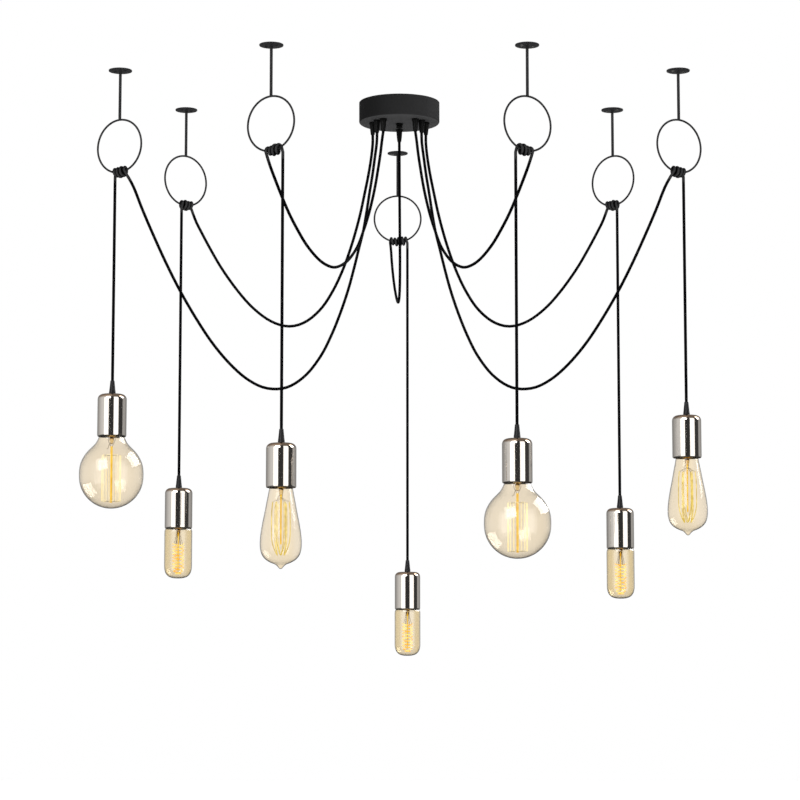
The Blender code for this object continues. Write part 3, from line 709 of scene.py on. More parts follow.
def faired(spots: Sequence[Vector], step: float) -> list[Vector]:
    """Points at an even step along a smooth curve through the given spots.

    Args:
        spots: the places that the curve goes through.
        step: about how far apart the points are.

    Returns:
        The points, with the first and the last spot as its ends.
    """
    ends = [spots[0] * 2 - spots[1], *spots, spots[-1] * 2 - spots[-2]]
    fine = []
    for before, first, second, after in zip(ends, ends[1:], ends[2:], ends[3:]):
        fine += [spline_point(before, first, second, after, part / FAIR_PARTS)
                 for part in range(FAIR_PARTS)]
    fine.append(spots[-1])
    run = [0.0]
    for first, second in zip(fine, fine[1:]):
        run.append(run[-1] + (second - first).length)
    count = max(2, round(run[-1] / step))
    even = []
    at = 0
    for number in range(count + 1):
        target = run[-1] * number / count
        while at < len(fine) - 2 and run[at + 1] < target:
            at += 1
        share = (target - run[at]) / (run[at + 1] - run[at])
        even.append(fine[at].lerp(fine[at + 1], share))
    return even


# The arms. A route is where a swag runs, as (distance from its grip, height).


NEAR_ROUTE = tenths(
    (40, -680), (100, -930), (175, -1180), (260, -1440), (365, -1700), (490, -1960), (645, -2220),
    (840, -2500), (1135, -2755), (1460, -2905), (1730, -2935), (2045, -2880), (2400, -2725),
    (2680, -2535), (2920, -2340), (3130, -2130), (3320, -1920), (3480, -1730),
)
MID_ROUTE = tenths(
    (5, -700), (40, -950), (80, -1220), (130, -1500), (180, -1800), (240, -2120), (320, -2420),
    (405, -2740), (505, -3080), (635, -3440), (790, -3800), (975, -4140), (1235, -4455), (1550, -4655),
    (1890, -4685), (2195, -4575), (2490, -4360), (2785, -4060), (3060, -3700), (3325, -3300),
    (3555, -2900), (3765, -2495), (3945, -2125), (4100, -1780),
)
FAR_ROUTE = tenths(
    (0, -680), (25, -910), (70, -1180), (130, -1470), (195, -1770), (280, -2090), (380, -2405),
    (500, -2715), (650, -3015), (840, -3285), (1090, -3480), (1360, -3540), (1650, -3450),
    (1945, -3230), (2210, -2935), (2470, -2575), (2670, -2240), (2820, -1965), (2910, -1790),
)
BACK_ROUTE = tenths(
    (15, -680), (60, -880), (130, -1120), (220, -1370), (330, -1620), (470, -1890), (650, -2160),
    (880, -2430), (1160, -2655), (1480, -2805), (1810, -2845), (2130, -2775), (2430, -2620),
    (2700, -2420), (2940, -2175), (3120, -1930), (3230, -1730),
)
NEAR_PLACE = (0.1842, -0.364)
MID_PLACE = (0.4182, -0.212)
FAR_PLACE = (0.3409, 0.047)
BACK_PLACE = (-0.003, 0.376)
DROP_SIDE = 0.66
SWAG_SIDE = 0.38


@dataclass(frozen=True)
class Arm:
    """One cord with its hanger and lamp: where they are and how the cord runs."""

    name: str
    side: int
    plan: Point2
    ring_degrees: float
    grip_degrees: float
    drop: float
    lamp: Lamp
    winding_end: float
    fullest: float
    route: Profile
    bow: float = 0.0
    turns: float = SIDE_TURNS

    @property
    def origin(self) -> Vector:
        """The ceiling point over the ring."""
        return Vector((self.side * self.plan[0], self.plan[1], 0))

    @property
    def turn(self) -> float:
        """The ring's turn about Z."""
        return math.radians(self.side * self.ring_degrees)

    @property
    def tangent(self) -> Vector:
        """The ring's own X direction."""
        return Vector((math.cos(self.turn), math.sin(self.turn), 0))

    @property
    def inward(self) -> Vector:
        """The ring's normal on the canopy's side."""
        normal = Vector((-self.tangent.y, self.tangent.x, 0))
        return -normal if normal.dot(self.origin) > 0 else normal

    @property
    def grip(self) -> Vector:
        """The cord grip's place on the canopy's underside.

        Returns:
            The place.
        """
        angle = math.radians(self.grip_degrees)
        across = self.side * GRIP_CIRCLE * math.cos(angle)
        return Vector((across, GRIP_CIRCLE * math.sin(angle), -CANOPY_HEIGHT))

    @property
    def pendant(self) -> str:
        """The body of the drop, the cup and the lampholder."""
        return "pendant_" + self.name

    @property
    def bulb(self) -> str:
        """The lamp's body."""
        return "bulb_" + self.name

    @property
    def ring_end(self) -> float:
        """Where the cord leaves the winding, along the ring from its foot."""
        return self.winding_end if self.name == "back" else -self.side * self.winding_end

    def ring_foot(self, along: float) -> float:
        """Height of the ring wire's middle at a distance along the ring from its foot."""
        centre = -PLATE_THICKNESS - ROD_LENGTH - RING_WIRE_RADIUS - RING_RADIUS
        return centre - math.sqrt(RING_RADIUS ** 2 - along ** 2)

    def winding_reach(self, share: float) -> float:
        """How far the turns' middle stands from the ring wire, at a share of the winding.

        Args:
            share: how far along, from 0 to 1.

        Returns:
            The distance.
        """
        skew = math.log(0.5) / math.log(self.fullest)
        bulge = WINDING_BULGE * math.sin(math.pi * share ** skew) ** WINDING_BULGE_POWER
        return RING_WIRE_RADIUS + WINDING_CLEARANCE + CORD_RADIUS + bulge

    def winding(self) -> list[Vector]:
        """The turns round the foot of the ring and the straight end over the drop.

        Returns:
            The points along the cord.
        """
        end = self.ring_end
        heading = math.copysign(1, end)
        start = end - heading * WINDING_PITCH * self.turns
        first = WINDING_START_DEGREES / 360
        count = round((self.turns - first) * WINDING_POINTS)
        spots = []
        for number in range(count + 1):
            turn = first + (self.turns - first) * number / count
            share = (turn - first) / (self.turns - first)
            along = start + (end - start) * share
            reach = self.winding_reach(share)
            angle = math.tau * turn
            spot = self.origin + self.tangent * along - self.inward * (reach * math.cos(angle))
            spot.z += self.ring_foot(along) + reach * math.sin(angle)
            spots.append(spot)
        lean = spots[-1] + self.tangent * (heading * WINDING_SIDESTEP) - Vector((0, 0, WINDING_RUN_OUT))
        return spots + [lean, lean - Vector((0, 0, 2 * CORD_RADIUS))]

    def core(self) -> list[tuple[Vector, float]]:
        """Places and radii along the hidden inner layer of the winding.

        Returns:
            The places, each with its radius.
        """
        length = math.copysign(WINDING_PITCH * self.turns, self.ring_end)
        spots = []
        for number in CORE_POINTS:
            share = number / CORE_PARTS
            along = self.ring_end - length * (1 - share)
            spot = self.origin + self.tangent * along + Vector((0, 0, self.ring_foot(along)))
            spots.append((spot, self.winding_reach(share) - CORE_DEPTH * CORD_RADIUS))
        return spots

    def swag(self) -> list[Vector]:
        """The whole swag, from inside the canopy to the drop.

        Returns:
            The points along the cord.
        """
        wound = self.winding()
        aim = self.origin + self.tangent * (self.ring_end - math.copysign(SWAG_AIM, self.ring_end))
        reach = Vector((aim.x - self.grip.x, aim.y - self.grip.y, 0))
        plan = reach.normalized()
        aside = Vector((plan.y, -plan.x, 0)) * self.bow
        spots = [self.grip - Vector((0, 0, GRIP_LENGTH))]
        for distance, height in self.route:
            bowed = aside * math.sin(math.pi * distance / reach.length)
            spots.append(Vector((self.grip.x, self.grip.y, height)) + plan * distance + bowed)
        spots += wound[:2]
        free = faired(spots, CORD_STEP)
        last = min(range(len(free)), key=lambda at: (free[at] - wound[0]).length)
        return [self.grip + Vector((0, 0, CORD_INNER_END)), *free[:last], *wound]

    @property
    def pivot(self) -> Vector:
        """The point that the drop hangs and swings from."""
        return self.winding()[-1] - Vector((0, 0, 2 * TOUCH_GAP))

    @property
    def cup_top(self) -> Matrix:
        """The place of the cup's top face."""
        return Matrix.Translation(self.pivot - Vector((0, 0, self.drop + HOLDER_GRIP_HEIGHT)))

    @property
    def lamp_top(self) -> Matrix:
        """The place of the top of the lamp's contact."""
        ceiling = -CUP_HEIGHT + HOLDER_RECESS + HOLDER_SOCKET_DEPTH - CAP_SEAT_GAP
        return self.cup_top @ Matrix.Translation((0, 0, ceiling))

    @property
    def glass_top(self) -> Matrix:
        """The place of the glass's neck, under the cap."""
        return self.lamp_top @ Matrix.Translation((0, 0, -CAP_LENGTH - TOUCH_GAP))


ARMS = (
    Arm("near_left", -1, NEAR_PLACE, 31, -54, 0.3936, Lamp.PEAR, 0.0160, DROP_SIDE, NEAR_ROUTE),
    Arm("mid_left", -1, MID_PLACE, 30, -35, 0.3021, Lamp.GLOBE, -0.0089, SWAG_SIDE, MID_ROUTE),
    Arm("far_left", -1, FAR_PLACE, -40, -11, 0.4227, Lamp.TUBE, -0.0089, DROP_SIDE, FAR_ROUTE),
    Arm("back", 1, BACK_PLACE, 0, 90, 0.5402, Lamp.TUBE, 0.0150, DROP_SIDE, BACK_ROUTE,
        0.007, BACK_TURNS),
    Arm("far_right", 1, FAR_PLACE, -40, -11, 0.4542, Lamp.TUBE, -0.0089, DROP_SIDE, FAR_ROUTE),
    Arm("mid_right", 1, MID_PLACE, 30, -35, 0.3338, Lamp.PEAR, -0.0089, SWAG_SIDE, MID_ROUTE),
    Arm("near_right", 1, NEAR_PLACE, 31, -54, 0.3871, Lamp.GLOBE, 0.0160, DROP_SIDE, NEAR_ROUTE),
)


# The sub-assemblies


@dataclass
class Cords:
    """The swags with their windings, and the drops."""

    dresser: Dresser
    sides: int = 4

    def build(self) -> None:
        """Make every cord."""
        for arm in ARMS:
            self.swag(arm)
            self.drop(arm)
            self.core(arm)

    def swag(self, arm: Arm) -> None:
        """Make one swag, wound round its ring.

        Args:
            arm: the arm that it belongs to.
        """
        points = arm.swag()
        points[-1].z -= CORD_OVERHANG
        length = sum((after - before).length for before, after in zip(points, points[1:]))
        self.cord("swag", arm, points, "mounting", arm.grip)

    def core(self, arm: Arm) -> None:
        """Make the dark inner layer that shows between the turns of one winding.

        Args:
            arm: the arm that it belongs to.
        """
        layer = arm.core()
        data = wire("inner_layer_" + arm.name, [[spot for spot, _ in layer]], CORD_RADIUS, self.sides)
        for point, (_, radius) in zip(data.splines[0].points, layer):
            point.radius = radius / CORD_RADIUS
        self.dresser.piece("inner_layer_" + arm.name, data, CORE_BLACK, "mounting")

    def drop(self, arm: Arm) -> None:
        """Make one plumb drop, from its winding into the grip on its cup.

        Args:
            arm: the arm that it belongs to.
        """
        sheath = arm.drop + HOLDER_GRIP_HEIGHT - HOLDER_GRIP_FLOOR - TOUCH_GAP
        points = [arm.pivot - Vector((0, 0, sheath * part / DROP_PARTS)) for part in range(DROP_PARTS + 1)]
        self.cord("drop", arm, points, arm.pendant, arm.pivot)

    def cord(self, kind: str, arm: Arm, points: Sequence[Vector], body: str,
             start: Vector) -> None:
        """Make one cord.

        Args:
            kind: what it is, a swag or a drop.
            arm: the arm that it belongs to.
            points: its middle line.
            body: the CAD body that it moves with.
            start: where it comes out; not used.
        """
        name = f"{kind}_{arm.name}"
        data = wire(name, [points], CORD_RADIUS, self.sides)
        made = self.dresser.piece(name, data, CORD_BLACK, body, [f"{kind}_cord_{arm.name}"])


@dataclass
class Canopy:
    """The canopy with its knob and cord grips, and what is inside it."""

    dresser: Dresser
    edge: float = 0.003
    rim: float = 0.0006
    stud_radius: float = 0.0025
    hole_radius: float = 0.0039
    knob_radius: float = 0.0058
    knob_neck: float = 0.0044
    knob_height: float = 0.0075
    collar_radius: float = 0.00575
    collar_height: float = 0.003
    nut_radius: float = 0.0055
    nut_height: float = 0.0025
    poles: int = 3
    clamp_radius: float = 0.0017
    clamp_height: float = 0.0008

    def build(self) -> None:
        """Make the canopy's pieces."""
        self.shell()
        self.knob()
        for arm in ARMS:
            self.cord_grip(arm)
        self.dresser.keep("ceiling_bracket", ZINC)
        self.dresser.keep("terminal_block", TERMINAL_WHITE)
        self.terminal_screws()

    def shell(self) -> None:
        """Make the pressed cup with its holes."""
        floor = -CANOPY_HEIGHT + CANOPY_WALL
        corner = (CANOPY_RADIUS - self.edge, -CANOPY_HEIGHT + self.edge)
        points = [(CANOPY_RADIUS - self.rim, 0), (CANOPY_RADIUS, -self.rim),
                  (CANOPY_RADIUS, -2 * self.rim), (CANOPY_RADIUS, -CANOPY_HEIGHT + self.edge + self.rim)]
        points += arc(corner, self.edge, 0, -90)
        points.append((CANOPY_RADIUS - self.edge - self.rim, -CANOPY_HEIGHT))
        points += [(self.stud_radius + TOUCH_GAP, -CANOPY_HEIGHT), (self.stud_radius + TOUCH_GAP, floor)]
        points += arc(corner, self.edge - CANOPY_WALL, -90, 0)
        points.append((CANOPY_RADIUS - CANOPY_WALL, 0))
        shape = bmesh.new()
        turned(shape, points, 128, closed=True)
        shell = bpy.data.objects.new("shell", mesh_of("shell", shape))
        drills = bmesh.new()
        for arm in ARMS:
            spot = Matrix.Translation((arm.grip.x, arm.grip.y, -CANOPY_HEIGHT))
            bmesh.ops.create_cone(drills, cap_ends=True, segments=32, radius1=self.hole_radius,
                                  radius2=self.hole_radius, depth=6 * CANOPY_WALL, matrix=spot)
        drill = bpy.data.objects.new("drills", mesh_of("drills", drills))
        for each in (shell, drill):
            bpy.context.scene.collection.objects.link(each)
        cut = shell.modifiers.new("holes", "BOOLEAN")
        cut.object = drill
        cut.solver = "EXACT"
        ready = shell.evaluated_get(bpy.context.evaluated_depsgraph_get())
        mesh = bpy.data.meshes.new_from_object(ready)
        for each in (shell, drill):
            bpy.data.objects.remove(each)
        self.dresser.piece("canopy_shell", smooth(mesh), CANOPY_BLACK, "mounting", ["canopy"])

    def knob(self) -> None:
        """Make the blind nut under the canopy."""
        bore = self.stud_radius + TOUCH_GAP
        crown = 0.0012
        points = [(0, -0.0045), (bore, -0.0045), (bore, 0), (self.knob_radius - 0.0003, 0),
                  (self.knob_radius, -0.0003), (self.knob_radius, -0.0021),
                  (self.knob_radius - 0.0003, -0.0024), (self.knob_neck, -0.0031)]
        points += fair([(self.knob_neck, -0.0035), (self.knob_radius - 0.0005, -0.0052),
                        (self.knob_radius - crown, -self.knob_height + crown / 2),
                        (0.0022, -self.knob_height + 0.0001), (0, -self.knob_height)])
        place = Matrix.Translation((0, 0, -CANOPY_HEIGHT - TOUCH_GAP))
        self.dresser.spun("canopy_nut", points, place, 48, NUT_BLACK, "mounting", ["canopy_knob"])

    def cord_grip(self, arm: Arm) -> None:
        """Make one cord grip: its collar, its taper and its nut inside the canopy.

        Args:
            arm: the arm that it belongs to.
        """
        bore = CORD_RADIUS + CORD_FIT
        shank = 0.0036
        nut_foot = CANOPY_WALL + TOUCH_GAP
        foot = -TOUCH_GAP - self.collar_height
        bead = 0.0004
        points = [(bore, nut_foot + self.nut_height), (self.nut_radius, nut_foot + self.nut_height),
                  (self.nut_radius, nut_foot), (shank, nut_foot), (shank, -TOUCH_GAP),
                  (self.collar_radius - bead, -TOUCH_GAP), (self.collar_radius, -TOUCH_GAP - bead),
                  (self.collar_radius, foot + bead), (self.collar_radius - bead, foot), (0.0048, foot)]
        points += fair([(0.0047, foot - 0.0006), (0.0043, -0.010), (0.0036, -0.0165),
                        (0.0031, -GRIP_LENGTH + 0.0008), (bore, -GRIP_LENGTH)], 4)
        self.dresser.spun("cord_grip_" + arm.name, points, Matrix.Translation(arm.grip), 32,
                          CANOPY_GRIP_BLACK, "mounting", ["canopy_grip_" + arm.name], closed=True)

    def terminal_screws(self) -> None:
        """Make the clamp screws under the terminal block."""
        shape = bmesh.new()
        low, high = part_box("terminal_block")
        for pole in range(self.poles):
            across = low[0] + (pole + 0.5) / self.poles * (high[0] - low[0])
            spot = Matrix.Translation((across, (low[1] + high[1]) / 2, low[2]))
            bmesh.ops.create_cone(shape, cap_ends=True, segments=24, radius1=self.clamp_radius,
                                  radius2=self.clamp_radius, depth=self.clamp_height, matrix=spot)
        self.dresser.piece("terminal_screws", mesh_of("terminal_screws", shape), SCREW_STEEL, "mounting")


@dataclass
class Hangers:
    """The plates, rods and rings that the cords hang from."""

    dresser: Dresser
    plate_radius: float = 0.0175
    rod_radius: float = 0.0022
    screw_radius: float = 0.0026
    screw_height: float = 0.0013
    slot_size: tuple[float, float, float] = (0.0026, 0.0005, 0.0003)
    slot_degrees: tuple[int, int] = (35, 125)
    bead: float = 0.0007
    weld: float = 0.0008

    def build(self) -> None:
        """Make every hanger."""
        for arm in ARMS:
            place = Matrix.Translation(arm.origin) @ Matrix.Rotation(arm.turn, 4, "Z")
            self.body(arm, place)
            self.screws(arm, place)

    def body(self, arm: Arm, place: Matrix) -> None:
        """Make a plate with its rod and ring as one piece.

        Args:
            arm: the arm that it belongs to.
            place: the plate's place on the ceiling.
        """
        foot = -PLATE_THICKNESS
        ring_top = foot - ROD_LENGTH
        shape = bmesh.new()
        points = [(0, 0), (self.plate_radius - 0.0002, 0), (self.plate_radius, -0.0002)]
        points += arc((self.plate_radius - self.bead, foot + self.bead), self.bead, 0, -90, 5)
        points += [(self.rod_radius + self.weld, foot), (self.rod_radius, foot - self.weld),
                   (self.rod_radius, ring_top), (self.rod_radius - 0.0006, ring_top - 0.0022),
                   (0, ring_top - 0.0024)]
        turned(shape, points, 48)
        ring = bmesh.new()
        upright = Matrix.Rotation(math.radians(90), 4, "X")
        middle = Matrix.Translation((RING_RADIUS, 0, 0)) @ upright
        circle = bmesh.ops.create_circle(ring, cap_ends=False, segments=16, radius=RING_WIRE_RADIUS,
                                         matrix=middle)
        around = circle["verts"] + list({edge for vert in circle["verts"] for edge in vert.link_edges})
        bmesh.ops.spin(ring, geom=around, cent=(0, 0, 0), axis=(0, 0, 1), dvec=(0, 0, 0),
                       angle=math.tau, steps=96, use_merge=True, use_duplicate=False)
        bmesh.ops.remove_doubles(ring, verts=ring.verts, dist=MERGE_DISTANCE)
        centre = Matrix.Translation((0, 0, ring_top - RING_WIRE_RADIUS - RING_RADIUS))
        bmesh.ops.transform(ring, matrix=centre @ upright, verts=ring.verts)
        merge(shape, ring)
        name = "ring_hanger_" + arm.name
        self.dresser.piece(name, mesh_of(name, shape, place), HANGER_BLACK, "mounting",
                           ["hanger_" + arm.name])

    def screws(self, arm: Arm, place: Matrix) -> None:
        """Make the two cross-head screws of a plate.

        Args:
            arm: the arm that they belong to.
            place: the plate's place on the ceiling.
        """
        shape = bmesh.new()
        profile = fair([(0, -self.screw_height), (0.0012, -self.screw_height + 0.0001),
                        (0.0021, -self.screw_height + 0.0005), (self.screw_radius, 0.0002)], 3)
        for side in (-1, 1):
            spot = Matrix.Translation((side * PLATE_SCREW_PLACE, 0, -PLATE_THICKNESS))
            head = bmesh.new()
            turned(head, profile, 24)
            bmesh.ops.transform(head, matrix=spot, verts=head.verts)
            for turn in self.slot_degrees:
                slot = (spot @ Matrix.Translation((0, 0, -self.screw_height))
                        @ Matrix.Rotation(math.radians(turn), 4, "Z")
                        @ Matrix.Diagonal((*self.slot_size, 1)))
                bmesh.ops.create_cube(head, size=1, matrix=slot)
            merge(shape, head)
        look = SCREW_STEEL if arm.side > 0 else HANGER_BLACK
        name = "plate_screws_" + arm.name
        self.dresser.piece(name, mesh_of(name, shape, place), look, "mounting")


@dataclass
class Sockets:
    """The nickel cups and the lampholders in them."""

    dresser: Dresser
    body_radius: float = 0.0183
    grip_radius: float = 0.0049
    grip_tip_radius: float = 0.0031
    rim: float = 0.0005
    lip: float = 0.0032
    lip_parts: int = 12
    threads: int = 6
    thread_depth: float = 0.0008
    thread_half: float = 0.0009

    def build(self) -> None:
        """Make the cup and the lampholder of every arm."""
        for arm in ARMS:
            self.cup(arm)
            self.holder(arm)

    def cup(self, arm: Arm) -> None:
        """Make one cup, with round shoulders and a rolled rim.

        Args:
            arm: the arm that it belongs to.
        """
        corner = (CUP_RADIUS - CUP_SHOULDER, -CUP_SHOULDER)
        points = [(CUP_HOLE_RADIUS, -self.rim), (CUP_HOLE_RADIUS + self.rim, 0)]
        points += arc(corner, CUP_SHOULDER, 90, 0, 14)
        points += [(CUP_RADIUS, -CUP_SHOULDER - self.rim),
                   (CUP_RADIUS, -CUP_HEIGHT + self.lip + self.rim)]
        for step in range(self.lip_parts + 1):
            turn = math.radians(90 * step / self.lip_parts)
            points.append((CUP_RADIUS - (CUP_WALL - self.rim / 2) * (1 - math.cos(turn)),
                           -CUP_HEIGHT + self.lip * (1 - math.sin(turn))))
        points += [(CUP_RADIUS - CUP_WALL, -CUP_HEIGHT + self.rim / 2),
                   (CUP_RADIUS - CUP_WALL, -CUP_HEIGHT + self.lip)]
        points += arc(corner, CUP_SHOULDER - CUP_WALL, 0, 90, 12)
        points.append((CUP_HOLE_RADIUS, -CUP_WALL))
        self.dresser.spun("nickel_cup_" + arm.name, points, arm.cup_top, 96, NICKEL, arm.pendant,
                          ["cup_" + arm.name], closed=True)

    def holder(self, arm: Arm) -> None:
        """Make one lampholder with the tapered grip on the cup.

        Args:
            arm: the arm that it belongs to.
        """
        bore = CORD_RADIUS + CORD_FIT
        neck = CUP_HOLE_RADIUS - TOUCH_GAP
        top = -CUP_WALL - TOUCH_GAP
        shoulder = CUP_SHOULDER - CUP_WALL
        socket = CAP_RADIUS + CAP_FIT
        foot = -CUP_HEIGHT + HOLDER_RECESS
        ceiling = foot + HOLDER_SOCKET_DEPTH
        points = [(0, HOLDER_GRIP_FLOOR), (bore, HOLDER_GRIP_FLOOR), (bore, HOLDER_GRIP_HEIGHT)]
        points += fair([(self.grip_tip_radius, HOLDER_GRIP_HEIGHT), (0.0036, 0.0145),
                        (0.0044, 0.0065), (self.grip_radius, 0.0030)], 5)
        points += [(self.grip_radius, 0.0006), (self.grip_radius - 0.0003, TOUCH_GAP), (neck, TOUCH_GAP),
                   (neck, top)]
        points += arc((self.body_radius - shoulder, top - shoulder), shoulder, 90, 0, 8)
        points += [(self.body_radius, foot + 0.0005), (self.body_radius - 0.0005, foot),
                   (socket + 0.0005, foot), (socket, foot + 0.0005)]
        for thread in range(self.threads):
            height = foot + 0.004 + thread * THREAD_PITCH
            points += [(socket, height - self.thread_half), (socket + self.thread_depth, height),
                       (socket, height + self.thread_half)]
        points += [(socket, ceiling), (0, ceiling)]
        self.dresser.spun("lamp_holder_" + arm.name, points, arm.cup_top, 48, HOLDER_BLACK,
                          arm.pendant, ["lampholder_" + arm.name], sharp=28)


# Outlines of the glass, as (radius, depth under the neck)
OUTLINES: dict[Lamp, Profile] = {
    Lamp.GLOBE: tenths(
        (127, 0), (128, 20), (160, 42), (188, 65), (208, 110), (240, 165), (286, 215), (330, 258),
        (369, 302), (400, 346), (425, 390), (446, 436), (461, 486), (470, 540), (474, 600), (473, 670),
        (466, 738), (449, 802), (423, 864), (388, 922), (346, 974), (297, 1019), (242, 1058),
        (183, 1087), (122, 1108), (61, 1120), (0, 1124),
    ),
    Lamp.PEAR: tenths(
        (127, 0), (128, 20), (152, 45), (168, 75), (180, 140), (203, 255), (230, 400), (262, 560),
        (286, 710), (295, 825), (291, 920), (266, 1005), (214, 1070), (144, 1113), (80, 1138),
        (46, 1166), (22, 1194), (0, 1203),
    ),
    Lamp.TUBE: tenths(
        (127, 0), (128, 20), (160, 38), (196, 58), (211, 82), (217, 120), (217, 250), (217, 450),
        (217, 640), (212, 700), (192, 760), (150, 808), (90, 832), (35, 839), (0, 839),
    ),
}
RIM_DEPTH = 0.0057


@dataclass
class Lamps:
    """The lamps: caps, stems, glass and glowing filaments."""

    dresser: Dresser
    wall: float = 0.0009
    threads: int = 5
    first_thread: float = 0.0062

    def build(self) -> None:
        """Make the lamp of every arm."""
        filaments = {Lamp.GLOBE: self.squirrel_cage, Lamp.PEAR: self.long_loops, Lamp.TUBE: self.spiral}
        for arm in ARMS:
            self.cap(arm)
            self.stem(arm)
            self.glass(arm)
            filaments[arm.lamp](arm)

    def cap(self, arm: Arm) -> None:
        """Make one screw cap with its contact, insulator and thread.

        Args:
            arm: the arm that it belongs to.
        """
        points = [(0, 0), (0.0040, -0.0001), (0.0048, -0.0008), (0.0048, -0.0018), (0.0062, -0.0020),
                  (0.0085, -0.0040), (0.0112, -0.0046), (0.0120, -0.0056)]
        for thread in range(self.threads):
            top = self.first_thread + thread * THREAD_PITCH
            points += [(0.0122, -top), (0.0127, -top - 0.0006), (CAP_RADIUS, -top - 0.0013),
                       (0.0127, -top - 0.0020), (0.0122, -top - 0.0027)]
        points += [(0.0123, -0.0248), (CAP_RADIUS, -0.0256), (CAP_RADIUS, -CAP_LENGTH), (0, -CAP_LENGTH)]
        self.dresser.spun("screw_cap_" + arm.name, points, arm.lamp_top, 48, CAP_METAL, arm.bulb,
                          ["bulb_base_" + arm.name], sharp=50)

    def stem(self, arm: Arm) -> None:
        """Make one glass stem, flared at the neck and pinched at its foot.

        Args:
            arm: the arm that it belongs to.
        """
        points = fair([(0, -0.0002), (0.0080, -0.0004), (0.0062, -0.0030), (0.0038, -0.0070),
                       (0.0030, -0.0120), (0.0020, -0.0165), (0, -0.0175)], 5)
        self.dresser.spun("stem_" + arm.name, points, arm.glass_top, 32, STEM_GLASS, arm.bulb)

    def glass(self, arm: Arm) -> None:
        """Make one envelope, with a wall inwards.

        Args:
            arm: the arm that it belongs to.
        """
        points = fair([(across, -depth) for across, depth in OUTLINES[arm.lamp]], 4)
        made = self.dresser.spun(f"{arm.lamp.value}_glass_{arm.name}", points, arm.glass_top, 80,
                                 ENVELOPES[arm.lamp], arm.bulb, ["bulb_glass_" + arm.name], sharp=80)
        made.visible_glossy = False
        wall = made.modifiers.new("wall", "SOLIDIFY")
        wall.thickness = self.wall
        wall.offset = -1

    def at(self, arm: Arm, across: float, angle: float, depth: float) -> Vector:
        """A point in a lamp: its radius, its angle in degrees and its depth under the cup's rim.

        Args:
            arm: the arm that it belongs to.
            across: the distance from the lamp's axis.
            angle: the angle in degrees.
            depth: the depth under the cup's rim.

        Returns:
            The point.
        """
        turn = math.radians(angle)
        spot = Vector((across * math.cos(turn), across * math.sin(turn), -RIM_DEPTH - depth))
        return arm.glass_top @ spot

    def wires(self, arm: Arm, name: str, lines: Sequence[Sequence[Vector]], radius: float,
              look: Look, sides: int = 1) -> None:
        """Make wires of one finish in a lamp.

        Args:
            arm: the arm that the lamp hangs on.
            name: what they are, such as spokes.
            lines: the points of each wire's middle line.
            radius: their radius.
            look: their finish.
            sides: how finely they are rounded.
        """
        data = wire(name, lines, radius, sides)
        made = self.dresser.piece(name + "_" + arm.name, data, look, arm.bulb)
        made.visible_glossy = False

    def rod(self, arm: Arm, top: float, low: float, radius: float) -> None:
        """Make the rod on a lamp's axis, between two depths, with a painted glow."""
        self.wires(arm, "rod", [[self.at(arm, 0, 0, top), self.at(arm, 0, 0, low)]], radius, ROD_PAINTED_GLOW, 3)

    def squirrel_cage(self, arm: Arm) -> None:
        """Make a globe's upright cage of strands round a bright rod.

        Args:
            arm: the arm that it belongs to.
        """
        strands = 16
        top, low, reach = 0.028, 0.096, 0.0140
        line = []
        for strand in range(strands):
            angle = 360 * strand / strands
            ends = [self.at(arm, reach, angle, top), self.at(arm, reach, angle, low)]
            line += ends if strand % 2 == 0 else ends[::-1]
        self.wires(arm, "filament", [line], 0.00036, STRAND_GLOW)
        self.rod(arm, 0.015, 0.098, 0.0017)
        spokes = [[self.at(arm, across, 360 * strand / strands, depth) for across in (0.001, reach)]
                  for strand in range(0, strands, 2) for depth in (top, low)]
        self.wires(arm, "spokes", spokes, 0.00018, SPOKE_WIRE)
        self.leads(arm, 0.0050, 0.0012)

    def leads(self, arm: Arm, width: float, foot: float) -> None:
        """Make the two leads that bow out under the stem and meet at the rod, and a small hook.

        Args:
            arm: the arm that it belongs to.
            width: how far the leads stand from the axis.
            foot: how far from the axis they end.
        """
        lines = []
        for angle in (0, 180):
            spots = [(width * 0.95, 0.000), (width, 0.004), (width * 0.9, 0.008), (foot + 0.0008, 0.0125),
                     (foot, 0.016)]
            lines.append(faired([self.at(arm, across, angle, depth) for across, depth in spots], 0.001))
        hook = [(0.0012, 0.010), (0.0042, 0.0135), (0.0048, 0.0165), (0.0075, 0.0185)]
        lines.append(faired([self.at(arm, across, 180, depth) for across, depth in hook], 0.001))
        self.wires(arm, "leads", lines, 0.00035, LEAD_WIRE)

    def long_loops(self, arm: Arm) -> None:
        """Make a pear's long loops, which close in at their foot.

        Args:
            arm: the arm that it belongs to.
        """
        loops, width = 6, 52
        lines = []
        for loop in range(loops):
            start = 360 * loop / loops
            down = [(0.0118, start, 0.020), (0.0130, start, 0.035), (0.0132, start, 0.065),
                    (0.0120, start + 6, 0.078), (0.0085, start + 14, 0.089), (0.0055, start + 30, 0.0955)]
            end = start + width
            up = [(0.0085, end - 8, 0.089), (0.0120, end - 2, 0.078), (0.0132, end, 0.065),
                  (0.0130, end, 0.035), (0.0118, end, 0.022)]
            lines.append(faired([self.at(arm, *spot) for spot in down + up], 0.0025))
        self.wires(arm, "filament", lines, 0.0006, LOOP_GLOW)
        self.rod(arm, 0.010, 0.080, 0.0011)
        spokes = []
        for loop in range(loops):
            for angle, depth in ((360 * loop / loops, 0.020), (360 * loop / loops + width, 0.022)):
                spokes.append([self.at(arm, 0.0008, angle, 0.014), self.at(arm, 0.0118, angle, depth)])
        self.wires(arm, "spokes", spokes, 0.00020, SPOKE_WIRE)
        self.leads(arm, 0.0022, 0.0010)

